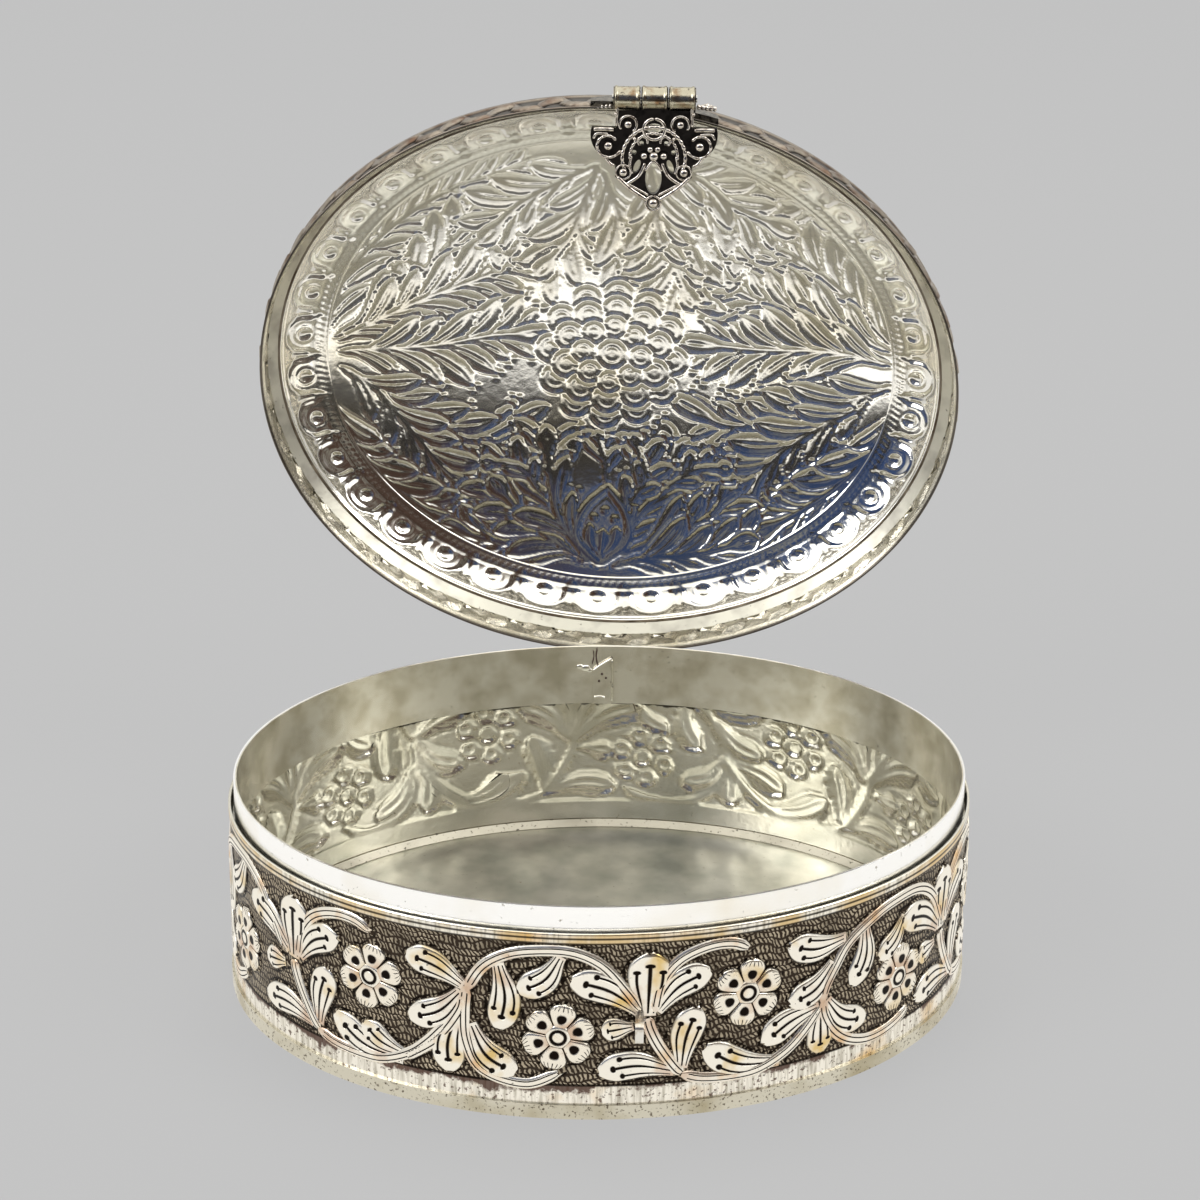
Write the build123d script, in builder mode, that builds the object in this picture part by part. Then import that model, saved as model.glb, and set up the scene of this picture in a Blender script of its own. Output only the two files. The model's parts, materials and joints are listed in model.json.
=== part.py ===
"""Oval hinged box of chased sheet metal with a cast openwork hasp, in millimetres.

Origin: centre of the oval underside. +X runs to the box's right, +Y to its hinged back, +Z up.
The lid stands open on its rear hinge, and the hasp hangs plumb from the lid's front edge.
"""
import os
from math import atan, cos, radians, sin, sqrt

from build123d import *

os.makedirs("parts", exist_ok=True)

# The oval box
half_length = 85.0            # half the long axis, over the base lip
half_width = 69.1             # half the short axis, over the base lip
lip_thickness = 0.5           # base lip outside the side wall
lip_height = 3.4
floor_thickness = 1.0
wall_height = 44.9            # floor face to the wall's upper edge
sheet = 0.7                   # side wall, lid band and dome
floor_seam_leg = 1.6          # solder run in the corner of the floor
seam_flat = 0.2               # left flat at the edges of a solder run

# The plain collar that the lid slides over
collar_thickness = 0.7
collar_clearance = 0.6        # lid band to collar, all round
collar_proud = 5.7            # above the wall's upper edge
collar_drop = 9.6             # below the wall's upper edge
collar_seat_height = 4.0      # thickened foot that is soldered to the wall
lap_left = 3.3                # lapped joint at the back, measured along X
lap_right = 8.0
lap_left_height = 9.0         # above the collar's lower edge
lap_right_height = 12.4
lap_thickness = 0.4

# The lid
rim_gap = 0.3                 # lid edge over the wall's edge when shut
band_height = 12.0
ledge_width = 3.0             # flat shoulder round the dome
dome_rise = 16.0              # outside, over the shoulder's underside
lid_seam_leg = 2.4
lid_opening = 92.0            # from shut to its stop

# The rear hinge
rear_x = 10.0                 # centre of the hinge along X
rear_radius = 2.3
rear_standoff = 3.1           # pin axis outside the side wall
rear_drop = 2.1               # pin axis below the wall's upper edge
rear_knuckle = 8.6            # length of each of the three knuckles
rear_pin_radius = 0.8
leaf_thickness = 1.4
body_leaf_reach = 13.0        # below the pin axis
lid_leaf_reach = 13.2         # above the pin axis when shut

# The hasp
hasp_x = 3.3                  # centre of the hasp along X when shut
hasp_radius = 2.6
hasp_standoff = 3.7           # pin axis outside the side wall
hasp_drop = 2.4               # pin axis below the wall's upper edge
hasp_knuckle = 6.4            # length of each of the three knuckles
hasp_pin_radius = 0.9
hasp_pin_end = 0.3            # pin showing past each end of the barrel
plate_thickness = 1.4         # fixed plate on the lid band
plate_half_width = 15.0
plate_ear_height = 3.2        # the plate's heights are measured up from the lid's edge
plate_neck_half_width = 9.6
plate_neck_height = 6.4
plate_reach = 10.8
plate_web_front = 0.6         # web between knuckle and plate, either side of the pin axis
plate_web_back = 2.2
plate_web_height = 2.8        # above the lid's edge
leaf_casting = 1.6
leaf_ear_half_width = 14.6
leaf_ear_top = 6.8            # the leaf's heights are measured down from the pin axis
leaf_ear_belly = (14.3, 11.0)
leaf_ear_foot = (11.2, 14.0)
leaf_waist_half_width = 9.0
leaf_waist_top = 15.8
leaf_waist_bottom = 18.6
tip_centre = 24.9
tip_radius = 1.5
slot_centre = 18.9
slot_width = 3.8
slot_height = 7.6
eye_centre = 7.0
eye_width = 3.8
eye_height = 2.7
petal_hole = (3.9, 16.0)      # centre of the slanted hole beside the slot
petal_hole_width = 1.4
petal_hole_height = 3.4
petal_hole_slant = 20.0
hoop_hole_radius = 0.55
hoop_holes = ((2.9, 10.4), (4.6, 12.6))
boss_radius = 1.0
boss_height = 0.5
bosses = ((6.2, 6.0), (10.8, 10.9), (7.1, 17.4), (2.3, 13.4))

# The staple
staple_proud = 5.8            # outside the side wall
staple_height = 5.0
staple_width = 1.8
staple_strip = 0.7
staple_corner = 1.4
staple_root = 6.0             # length behind the wall's face before it is trimmed

# Fits
pin_clearance = 0.05          # pin in a turning knuckle, on the radius
knuckle_gap = 0.2             # between neighbouring knuckles
sweep_clearance = 0.4         # fixed metal to a turning knuckle
wall_clearance = 0.4          # turning metal to the side wall

# Worked out from the sizes above
wall_a, wall_b = half_length - lip_thickness, half_width - lip_thickness
wall_inset = lip_thickness + sheet
collar_inset = wall_inset + collar_clearance
collar_top = wall_height + collar_proud
collar_bottom = wall_height - collar_drop
band_bottom = wall_height + rim_gap
band_top = band_bottom + band_height
dome_inset = lip_thickness + ledge_width
rear_z = wall_height - rear_drop
rear_half = 1.5 * rear_knuckle
rear_depth = 2 * rear_standoff            # deep enough to reach through the curved leaf
rear_web_height = rear_drop + rim_gap + sheet
hasp_half = 1.5 * hasp_knuckle
hasp_depth = 2 * hasp_standoff
lid_edge = hasp_drop + rim_gap            # lid's edge over the hasp's pin axis when shut


def wall_y(x):
    """Half-width of the side wall's outside at a distance along the long axis."""
    return wall_b * sqrt(1 - (x / wall_a) ** 2)


# The rear hinge lies along the oval's tangent at its place, and the hasp's pin is parallel to it
hinge_slope = -atan(wall_b * rear_x / (wall_a * sqrt(wall_a**2 - rear_x**2)))
hinge_along = Vector(cos(hinge_slope), sin(hinge_slope), 0)
hinge_out = Vector(-hinge_along.Y, hinge_along.X, 0)
rear_frame = Plane(
    origin=Vector(rear_x, wall_y(rear_x), wall_height - rear_drop) + hinge_out * rear_standoff,
    x_dir=hinge_along,
    z_dir=(0, 0, 1),
)
swing = Location((0, 0, 0), (-lid_opening, 0, 0))
lid_frame = Plane(rear_frame.location * swing * rear_frame.location.inverse())
shut_hasp_frame = Plane(
    origin=Vector(hasp_x, -wall_y(hasp_x), wall_height - hasp_drop) - hinge_out * hasp_standoff,
    x_dir=hinge_along,
    z_dir=(0, 0, 1),
)
lid_hasp_frame = Plane(lid_frame.location * shut_hasp_frame.location)
hasp_frame = Plane(origin=lid_hasp_frame.origin, x_dir=hinge_along, z_dir=(0, 0, 1))
lid_rear_frame = Plane(lid_frame.location * rear_frame.location)


def oval_band(frame, bottom, top, inset, thickness):
    """Add an upright oval band to the part in hand, inset from the base lip."""
    with BuildSketch(frame.offset(bottom)) as band:
        Ellipse(half_length - inset, half_width - inset)
        Ellipse(half_length - inset - thickness, half_width - inset - thickness, mode=Mode.SUBTRACT)
    extrude(band.sketch, amount=top - bottom)


def oval_block(frame, bottom, top, inset, mode=Mode.ADD):
    """Add or cut a solid oval, inset from the base lip."""
    with BuildSketch(frame.offset(bottom)) as oval:
        Ellipse(half_length - inset, half_width - inset)
    extrude(oval.sketch, amount=top - bottom, mode=mode)


def dome_form(inset, rise):
    """Half an ellipsoid over the oval at an inset, standing on the XY plane."""
    with BuildPart() as form:
        with BuildSketch(Plane.XZ):
            with BuildLine():
                foot = Line((0, 0), (half_width - inset, 0))
                EllipticalCenterArc((0, 0), half_width - inset, rise, 0, arc_size=90)
                Line((0, rise), foot @ 0)
            make_face()
        revolve(axis=Axis.Z)
        scale(by=((half_length - inset) / (half_width - inset), 1, 1))
    return form.part


def barrel(frame, start, end, radius, mode=Mode.ADD):
    """Add or cut a round bar along a hinge frame's X axis."""
    with BuildSketch(Plane(frame.from_local_coords(Vector(start, 0, 0)), frame.z_dir, frame.x_dir)) as disc:
        Circle(radius)
    extrude(disc.sketch, amount=end - start, mode=mode)


def down(place):
    """A place on the hasp leaf from its distance along the pin and its depth below it."""
    return (place[0], -place[1])


def slab(frame, low, high, mode=Mode.ADD):
    """Add or cut a block between two corners given in a frame."""
    size = Vector(*high) - Vector(*low)
    centre = (Vector(*high) + Vector(*low)) * 0.5
    with Locations(Location(frame) * Location(centre)):
        Box(size.X, size.Y, size.Z, mode=mode)


def knuckles(frame, places, length, radius):
    """Add the named thirds of a three-part barrel: -1 is the left one, 0 the middle, 1 the right."""
    trim = knuckle_gap / 2
    for place in places:
        left = (place - 0.5) * length + (trim if place > -1 else 0)
        right = (place + 0.5) * length - (trim if place < 1 else 0)
        barrel(frame, left, right, radius)


def sweep_room(frame, places, length, radius):
    """Cut the room that turning knuckles need out of the part in hand."""
    for place in places:
        trim = knuckle_gap / 2
        barrel(frame, (place - 0.5) * length - trim, (place + 0.5) * length + trim,
               radius + sweep_clearance, mode=Mode.SUBTRACT)


# The box

with BuildPart() as base_plate:
    oval_block(Plane.XY, 0, lip_height, 0)
    oval_block(Plane.XY, floor_thickness, lip_height, lip_thickness, mode=Mode.SUBTRACT)
base_plate.part.label = "base_plate"

with BuildPart() as side_wall:
    oval_band(Plane.XY, floor_thickness, wall_height, lip_thickness, sheet)
side_wall.part.label = "side_wall"

with BuildPart() as floor_seam:
    oval_band(Plane.XY, floor_thickness, floor_thickness + floor_seam_leg, wall_inset, floor_seam_leg)
    top_edges = floor_seam.edges().group_by(Axis.Z)[-1]
    chamfer(top_edges.sort_by(SortBy.LENGTH)[0], floor_seam_leg - seam_flat)
floor_seam.part.label = "floor_seam"

with BuildPart() as inner_collar:
    oval_band(Plane.XY, collar_bottom, collar_top, collar_inset, collar_thickness)
    oval_band(Plane.XY, collar_bottom, collar_bottom + collar_seat_height, wall_inset,
              collar_clearance + collar_thickness)
inner_collar.part.label = "inner_collar"

with BuildPart() as collar_lap:
    oval_band(Plane.XY, collar_bottom, collar_top, collar_inset + collar_thickness, lap_thickness)
    with BuildSketch(Plane.XZ) as lap_outline:
        with BuildLine():
            Polyline(
                (lap_left, collar_bottom),
                (lap_right, collar_bottom),
                (lap_right, collar_bottom + lap_right_height),
                (lap_left, collar_bottom + lap_left_height),
                close=True,
            )
        make_face()
    extrude(lap_outline.sketch, amount=-half_width, mode=Mode.INTERSECT)
collar_lap.part.label = "collar_lap"

with BuildPart() as staple:
    staple_plane = Plane(
        shut_hasp_frame.from_local_coords(Vector(0, 0, -slot_centre)), hinge_out, hinge_along
    )
    nose = hasp_standoff - staple_proud
    length = hasp_standoff + staple_root - nose
    with BuildSketch(staple_plane) as loop:
        with Locations((nose + length / 2, 0)):
            RectangleRounded(length, staple_height, staple_corner)
            RectangleRounded(length - 2 * staple_strip, staple_height - 2 * staple_strip,
                             staple_corner - staple_strip, mode=Mode.SUBTRACT)
    extrude(loop.sketch, amount=staple_width / 2, both=True)
    oval_block(Plane.XY, 0, wall_height, lip_thickness, mode=Mode.SUBTRACT)
staple.part.label = "staple"

# The rear hinge

with BuildPart() as rear_hinge_body_leaf:
    oval_band(Plane.XY, rear_z - body_leaf_reach, rear_z, lip_thickness - leaf_thickness, leaf_thickness)
    slab(rear_frame, (-rear_half, -rear_depth, -body_leaf_reach), (rear_half, rear_radius, 0),
         mode=Mode.INTERSECT)
    sweep_room(rear_frame, (0,), rear_knuckle, rear_radius)
    knuckles(rear_frame, (-1, 1), rear_knuckle, rear_radius)
    barrel(rear_frame, -rear_half, rear_half, rear_pin_radius, mode=Mode.SUBTRACT)
rear_hinge_body_leaf.part.label = "rear_hinge_body_leaf"

with BuildPart() as rear_hinge_pin:
    barrel(rear_frame, -rear_half, rear_half, rear_pin_radius)
rear_hinge_pin.part.label = "rear_hinge_pin"

with BuildPart() as rear_hinge_lid_leaf:
    oval_band(lid_frame, band_bottom, rear_z + lid_leaf_reach, lip_thickness - leaf_thickness,
              leaf_thickness)
    slab(lid_rear_frame, (-rear_half, -rear_depth, 0), (rear_half, rear_radius, lid_leaf_reach),
         mode=Mode.INTERSECT)
    slab(lid_rear_frame, (-rear_knuckle / 2 + knuckle_gap, wall_clearance - rear_standoff, sweep_clearance),
         (rear_knuckle / 2 - knuckle_gap, leaf_thickness - rear_standoff, rear_web_height))
    sweep_room(lid_rear_frame, (-1, 1), rear_knuckle, rear_radius)
    knuckles(lid_rear_frame, (0,), rear_knuckle, rear_radius)
    barrel(lid_rear_frame, -rear_half, rear_half, rear_pin_radius + pin_clearance, mode=Mode.SUBTRACT)
rear_hinge_lid_leaf.part.label = "rear_hinge_lid_leaf"

# The lid

with BuildPart() as lid_band:
    oval_band(lid_frame, band_bottom, band_top, lip_thickness, sheet)
lid_band.part.label = "lid_band"

with BuildPart() as lid_dome:
    oval_block(lid_frame, band_top, band_top + sheet, lip_thickness)
    with Locations(Location(lid_frame.offset(band_top))):
        add(dome_form(dome_inset, dome_rise))
        add(dome_form(dome_inset + sheet, dome_rise - sheet), mode=Mode.SUBTRACT)
lid_dome.part.label = "lid_dome"

with BuildPart() as lid_seam:
    oval_band(lid_frame, band_top - lid_seam_leg, band_top, wall_inset, lid_seam_leg)
    low_edges = lid_seam.edges().group_by(Axis(lid_frame.origin, lid_frame.z_dir))[0]
    chamfer(low_edges.sort_by(SortBy.LENGTH)[0], lid_seam_leg - seam_flat)
lid_seam.part.label = "lid_seam"

# The hasp

with BuildPart() as hasp_plate:
    oval_band(lid_frame, band_bottom, band_top, lip_thickness - plate_thickness, plate_thickness)
    plate_back = Plane(lid_hasp_frame.origin, lid_hasp_frame.x_dir, -lid_hasp_frame.y_dir)
    with BuildSketch(plate_back) as cartouche:
        with BuildLine():
            foot = Line((0, lid_edge), (plate_half_width, lid_edge))
            ear = Line(foot @ 1, (plate_half_width, lid_edge + plate_ear_height))
            Spline(ear @ 1, (plate_neck_half_width, lid_edge + plate_neck_height),
                   (0, lid_edge + plate_reach), tangents=((-1, 1), (-1, 0)))
            mirror(about=Plane.YZ)
        make_face()
    extrude(cartouche.sketch, amount=plate_half_width, both=True, mode=Mode.INTERSECT)
    for place in (-1, 1):
        left, right = sorted((place * hasp_knuckle * 1.5, place * (hasp_knuckle + knuckle_gap) / 2))
        slab(lid_hasp_frame, (left, -plate_web_front, 0), (right, plate_web_back, lid_edge + sheet))
        slab(lid_hasp_frame, (left, plate_web_front, lid_edge + wall_clearance),
             (right, hasp_depth, lid_edge + plate_web_height))
    oval_block(lid_frame, 0, band_top, lip_thickness, mode=Mode.SUBTRACT)
    sweep_room(lid_hasp_frame, (0,), hasp_knuckle, hasp_radius)
    knuckles(lid_hasp_frame, (-1, 1), hasp_knuckle, hasp_radius)
    barrel(lid_hasp_frame, -hasp_half, hasp_half, hasp_pin_radius, mode=Mode.SUBTRACT)
hasp_plate.part.label = "hasp_plate"

with BuildPart() as hasp_pin:
    barrel(hasp_frame, -hasp_half - hasp_pin_end, hasp_half + hasp_pin_end, hasp_pin_radius)
hasp_pin.part.label = "hasp_pin"

with BuildPart() as hasp_leaf:
    leaf_back = Plane(hasp_frame.origin, hinge_along, -hinge_out)
    with BuildSketch(leaf_back) as shield:
        with BuildLine():
            top = Line((0, 0), (leaf_waist_half_width, 0))
            neck = Line(top @ 1, (leaf_waist_half_width, -leaf_ear_top))
            shoulder = Line(neck @ 1, (leaf_ear_half_width, -leaf_ear_top))
            ear = ThreePointArc(shoulder @ 1, down(leaf_ear_belly), down(leaf_ear_foot))
            flank = Line(ear @ 1, (leaf_waist_half_width, -leaf_waist_top))
            waist = Line(flank @ 1, (leaf_waist_half_width, -leaf_waist_bottom))
            Line(waist @ 1, (0, -tip_centre))
            mirror(about=Plane.YZ)
        make_face()
        with Locations((0, -slot_centre)):
            Ellipse(slot_width / 2, slot_height / 2, mode=Mode.SUBTRACT)
        with Locations((0, -eye_centre)):
            Ellipse(eye_width / 2, eye_height / 2, mode=Mode.SUBTRACT)
        for side in (-1, 1):
            with Locations(Location((side * petal_hole[0], -petal_hole[1]), side * petal_hole_slant)):
                Ellipse(petal_hole_width / 2, petal_hole_height / 2, mode=Mode.SUBTRACT)
            with Locations(*((side * x, -y) for x, y in hoop_holes)):
                Circle(hoop_hole_radius, mode=Mode.SUBTRACT)
    extrude(shield.sketch, amount=leaf_casting)
    with BuildSketch(leaf_back.offset(leaf_casting)) as studs:
        with Locations(*((side * x, -y) for x, y in bosses for side in (-1, 1))):
            Circle(boss_radius)
    extrude(studs.sketch, amount=boss_height)
    with Locations(Location(leaf_back) * Location((0, -tip_centre, leaf_casting / 2))):
        Sphere(tip_radius)
    sweep_room(hasp_frame, (-1, 1), hasp_knuckle, hasp_radius)
    knuckles(hasp_frame, (0,), hasp_knuckle, hasp_radius)
    barrel(hasp_frame, -hasp_half, hasp_half, hasp_pin_radius + pin_clearance, mode=Mode.SUBTRACT)
hasp_leaf.part.label = "hasp_leaf"

pieces = (
    base_plate, side_wall, floor_seam, inner_collar, collar_lap, staple,
    rear_hinge_body_leaf, rear_hinge_pin, rear_hinge_lid_leaf,
    lid_band, lid_dome, lid_seam, hasp_plate, hasp_pin, hasp_leaf,
)
for piece in pieces:
    export_step(piece.part, f"parts/{piece.part.label}.step")
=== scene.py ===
"""Looks of an oval paan box of chased, silver-plated sheet with a cast hasp.

Lengths are in millimetres until a piece is settled, and in metres after that.
"""

import json
import logging
import math
from dataclasses import dataclass, field
from enum import Enum
from functools import partial
from typing import Callable, Sequence

import bmesh
import bpy
import numpy as np
from mathutils import Matrix, Vector

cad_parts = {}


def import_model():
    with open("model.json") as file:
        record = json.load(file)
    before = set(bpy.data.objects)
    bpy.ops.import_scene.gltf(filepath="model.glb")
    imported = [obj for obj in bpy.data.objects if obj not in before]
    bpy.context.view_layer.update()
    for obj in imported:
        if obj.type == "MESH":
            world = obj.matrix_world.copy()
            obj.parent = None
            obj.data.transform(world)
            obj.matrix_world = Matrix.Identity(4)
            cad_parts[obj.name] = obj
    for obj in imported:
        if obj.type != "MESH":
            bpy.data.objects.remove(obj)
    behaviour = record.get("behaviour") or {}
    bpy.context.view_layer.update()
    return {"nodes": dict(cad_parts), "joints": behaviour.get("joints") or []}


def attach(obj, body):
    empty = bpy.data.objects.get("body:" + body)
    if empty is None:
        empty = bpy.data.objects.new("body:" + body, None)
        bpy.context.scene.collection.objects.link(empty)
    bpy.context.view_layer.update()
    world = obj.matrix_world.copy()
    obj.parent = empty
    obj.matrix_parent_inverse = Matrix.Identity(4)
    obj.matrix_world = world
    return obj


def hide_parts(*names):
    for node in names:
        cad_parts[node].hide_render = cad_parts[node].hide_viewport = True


MM = 0.001
TOUCHING = 1e-3  # places nearer than this are one place
LOG = logging.getLogger("paan_box")
Array = np.ndarray
Mesh = bmesh.types.BMesh
Node = bpy.types.Node
Tree = bpy.types.NodeTree
Object = bpy.types.Object
Looks = dict[str, object]
Point = tuple[float, float]
Line = tuple[Point, ...]
Rule = Callable[[Array, Array], tuple[Array, Array]]
Sides = tuple[int, ...]
BOTH, MIDDLE = (-1, 1), (1,)


class Body(str, Enum):
    """Moving bodies of the box."""

    BOX = "box"
    LID = "lid"
    HASP = "hasp"


class Slot(str, Enum):
    """Material slots of the record, passed along with the scene's own pieces."""

    CHASED = "chased_sheet"
    SOLDER = "solder"
    HINGE = "hinge_casting"
    CASTING = "blackened_casting"


class Outline(Enum):
    """How wide a raised form is along its spine."""

    LEAF = "leaf"
    PETAL = "petal"
    STEM = "stem"


# ---------------------------------------------------------------- colour and nodes


def linear(code: str) -> tuple[float, float, float, float]:
    """Turn an sRGB hex colour such as "#c0c0c0" into linear red, green and blue, and an alpha of 1."""
    parts = [int(code[i : i + 2], 16) / 255 for i in (1, 3, 5)]
    red, green, blue = (c / 12.92 if c <= 0.04045 else ((c + 0.055) / 1.055) ** 2.4 for c in parts)
    return (red, green, blue, 1.0)


def add_node(tree: Tree, kind: str, *values: object, **settings: object) -> Node:
    """Add a node with its settings, constants and links.

    Args:
        tree: Node tree that gets the node.
        kind: Node type without its prefix, such as "Math". A "Mix" mixes colours.
        *values: What the inputs get in their order: a constant, a socket, or a node whose result feeds the input. A
            dictionary gives them by their names or numbers instead.
        **settings: Properties of the node itself.

    Returns:
        The new node.
    """
    node = tree.nodes.new("ShaderNode" + kind)
    if kind == "Mix":
        settings["data_type"] = "RGBA"
    for name, value in settings.items():
        setattr(node, name, value)
    inputs: dict = {}
    for number, value in zip((0, 6, 7) if kind == "Mix" else range(5), values):
        inputs |= value if isinstance(value, dict) else {number: value}
    for name, value in inputs.items():
        if isinstance(value, Node):
            value = value.outputs[2 if value.type == "MIX" else 0]
        if isinstance(value, bpy.types.NodeSocket):
            tree.links.new(value, node.inputs[name])
        else:
            node.inputs[name].default_value = value
    return node


# ---------------------------------------------------------------- finishes


@dataclass(frozen=True)
class Finish:
    """A metal surface with patches of tint, grime in specks, and fine unevenness. Sizes are in millimetres."""

    name: str
    colour: str
    tint: str
    grime: str
    roughness: float = 0.25
    tint_size: float = 14.0
    tint_share: float = 0.4
    speck_size: float = 1.2
    speck_share: float = 0.1
    dent: float = 0.06
    dent_size: float = 2.0
    metallic: float = 1.0

    def make(self) -> bpy.types.Material:
        """Build the material."""
        material = bpy.data.materials.new(self.name)
        material.use_nodes = True
        tree = material.node_tree
        tree.nodes.clear()
        ways = add_node(tree, "TexCoord").outputs["Object"]
        place = add_node(tree, "VectorMath", {0: ways, 3: 1 / MM}, operation="SCALE")
        waves = add_node(tree, "TexNoise", {"Vector": place, "Scale": 1 / self.dent_size, "Detail": 3.0})
        dents = add_node(tree, "Bump", {"Height": waves, "Strength": 1.0, "Distance": self.dent * MM})
        looks: Looks = {"Metallic": self.metallic, "Roughness": self.roughness, "Normal": dents}
        shader = add_node(tree, "BsdfPrincipled", looks | self.dress(tree, place, dents))
        add_node(tree, "OutputMaterial", {"Surface": shader})
        return material

    def metal(self, tree: Tree, place: Node) -> Node:
        """Mix the metal's colour, its tint patches and its specks.

        Args:
            tree: Node tree in hand.
            place: Object coordinates in millimetres.

        Returns:
            The node that gives the colour.
        """
        add = partial(add_node, tree)
        share, specked = self.tint_share, 0.25 * self.speck_share
        patches = add("TexNoise", {"Vector": place, "Scale": 1 / self.tint_size, "Detail": 3.0})
        patch = add("MapRange", patches, 0.62 - 0.3 * share, 0.74 - 0.1 * share)
        tinted = add("Mix", patch, linear(self.colour), linear(self.tint))
        specks = add("TexNoise", {"Vector": place, "Scale": 1 / self.speck_size, "Detail": 4.0})
        speck = add("MapRange", specks, 0.7 - specked, 0.8 - specked, 0.0, 0.9)
        return add("Mix", speck, tinted, linear(self.grime))

    def dress(self, tree: Tree, place: Node, dents: Node) -> Looks:
        """Choose what feeds the shader.

        Args:
            tree: Node tree in hand.
            place: Object coordinates in millimetres.
            dents: Bump of the fine unevenness; not used.

        Returns:
            Shader inputs that differ from the plain ones.
        """
        return {"Base Color": self.metal(tree, place)}


@dataclass(frozen=True)
class MatGround(Finish):
    """Ground matted with a lining punch: rows of short slanted strokes on a blackened sheet.

    The punch is as long as a row is high, and the strokes stand a pitch apart. Both are about a half more than on
    real work, where they would run together in the render.
    """

    low: float = 8.0
    high: float = 42.4
    row: float = 1.65
    pitch: float = 0.5
    stroke: str = "#bfb29c"
    ground: str = "#3b322a"
    stain: str = "#4a2b20"
    lines: tuple[float, ...] = ()

    def soiled(self, tree: Tree, place: Node, chart: Node) -> Node:
        """Mix the plain edges' metal with upright rubbing streaks and stains beside the matted zone.

        Args:
            tree: Node tree in hand.
            place: Object coordinates in millimetres.
            chart: The sheet's own map in millimetres.

        Returns:
            The node that gives the colour.
        """
        add = partial(add_node, tree)
        drawn = add("VectorMath", chart, (1.4, 0.12, 1.0), operation="MULTIPLY")
        streaks = add("TexNoise", {"Vector": drawn, "Scale": 1.0})
        streak = add("MapRange", streaks, 0.42, 0.7, 0.0, 0.7)
        rubbed = add("Mix", streak, self.metal(tree, place), linear("#958e7c"))
        height = add("SeparateXYZ", chart).outputs[1]
        above = add("MapRange", height, self.low - 4.2, self.low)
        blots = add("TexNoise", {"Vector": place, "Scale": 0.13, "Detail": 5.0, "Roughness": 0.65})
        crowded = add("Math", above, 0.3, blots, operation="MULTIPLY_ADD")
        blot = add("MapRange", crowded, 0.71, 0.78, 0.0, 0.9)
        beneath = add("Math", height, self.low + 1.0, operation="LESS_THAN")
        kept = add("Math", blot, beneath, operation="MULTIPLY")
        holes = add("TexNoise", {"Vector": place, "Scale": 1.1, "Detail": 3.0})
        hole = add("MapRange", holes, 0.6, 0.66, 0.0, 0.8)
        pit = add("Math", hole, beneath, operation="MULTIPLY")
        pitted = add("Math", kept, pit, operation="MAXIMUM")
        soiled = add("Mix", pitted, rubbed, linear(self.stain))
        worn = add("TexNoise", {"Vector": place, "Scale": 0.09, "Detail": 4.0})
        warm = add("MapRange", worn, 0.42, 0.6, 0.0, 0.9)
        upper = add("Math", warm, beneath, operation="SUBTRACT")
        gilt = add("Math", upper, 0.0, operation="MAXIMUM")
        return add("Mix", gilt, soiled, linear("#d9bd8b"))

    def dress(self, tree: Tree, place: Node, dents: Node) -> Looks:
        """Draw the strokes from the sheet's own millimetre map, and leave its edges plain."""
        add = partial(add_node, tree)
        chart = add("UVMap", uv_map="sheet")
        split = add("SeparateXYZ", chart)
        along, height = split.outputs[0], split.outputs[1]
        wobble = add("TexNoise", {"Vector": place, "Scale": 0.13})
        across = add("Math", wobble, 6.5, height, operation="MULTIPLY_ADD")
        rows = add("Math", across, self.row, operation="DIVIDE")
        step = add("Math", rows, operation="FRACT")
        number = add("Math", rows, operation="FLOOR")
        shift = add("Math", number, 0.37, operation="MULTIPLY")
        odd = add("Math", number, 1.0, operation="PINGPONG")
        way = add("Math", odd, 1.4, 0.8, operation="MULTIPLY_ADD")
        lean = add("Math", step, way, shift, operation="MULTIPLY_ADD")
        run = add("Math", along, self.pitch, operation="DIVIDE")
        strokes = add("Math", run, lean, operation="ADD")
        uneven = add("TexNoise", {"Vector": place, "Scale": 0.9, "Detail": 1.0})
        spread = add("Math", uneven, 2.2, strokes, operation="MULTIPLY_ADD")
        wave = add("Math", spread, 1.0, operation="PINGPONG")
        stroke = add("MapRange", wave, 0.4, 0.62)
        middle = add("Math", step, 0.5, operation="PINGPONG")
        lane = add("MapRange", middle, 0.08, 0.2)
        bright = add("Math", stroke, lane, operation="MULTIPLY")
        worn = add("TexNoise", {"Vector": place, "Scale": 0.18, "Detail": 3.0})
        wear = add("MapRange", worn, 0.35, 0.65, 0.45)
        worn_in = add("Math", bright, wear, operation="MULTIPLY")
        depth = add("Attribute", attribute_name="struck").outputs["Fac"]
        clear = add("MapRange", depth, -0.07, -0.01)
        shown = add("Math", worn_in, clear, operation="MULTIPLY")
        bare = add("Mix", clear, linear(self.grime), linear(self.ground))
        matted = add("Mix", shown, bare, linear(self.stroke))
        over = add("Math", height, self.low, operation="GREATER_THAN")
        under = add("Math", height, self.high, operation="LESS_THAN")
        zone = add("Math", over, under, operation="MULTIPLY")
        colour = add("Mix", zone, self.soiled(tree, place, chart), matted)
        for level in self.lines:
            off = add("Math", height, level, operation="SUBTRACT")
            away = add("Math", off, operation="ABSOLUTE")
            line = add("MapRange", away, 0.16, 0.34, 0.9, 0.0)
            colour = add("Mix", line, colour, linear(self.grime))
        cut = add("Math", bright, zone, operation="MULTIPLY")
        return {
            "Base Color": colour,
            "Roughness": add("MapRange", zone, 0.0, 1.0, self.roughness, 0.42),
            "Normal": add("Bump", {"Height": cut, "Distance": 0.12 * MM, "Normal": dents}),
        }


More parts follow.
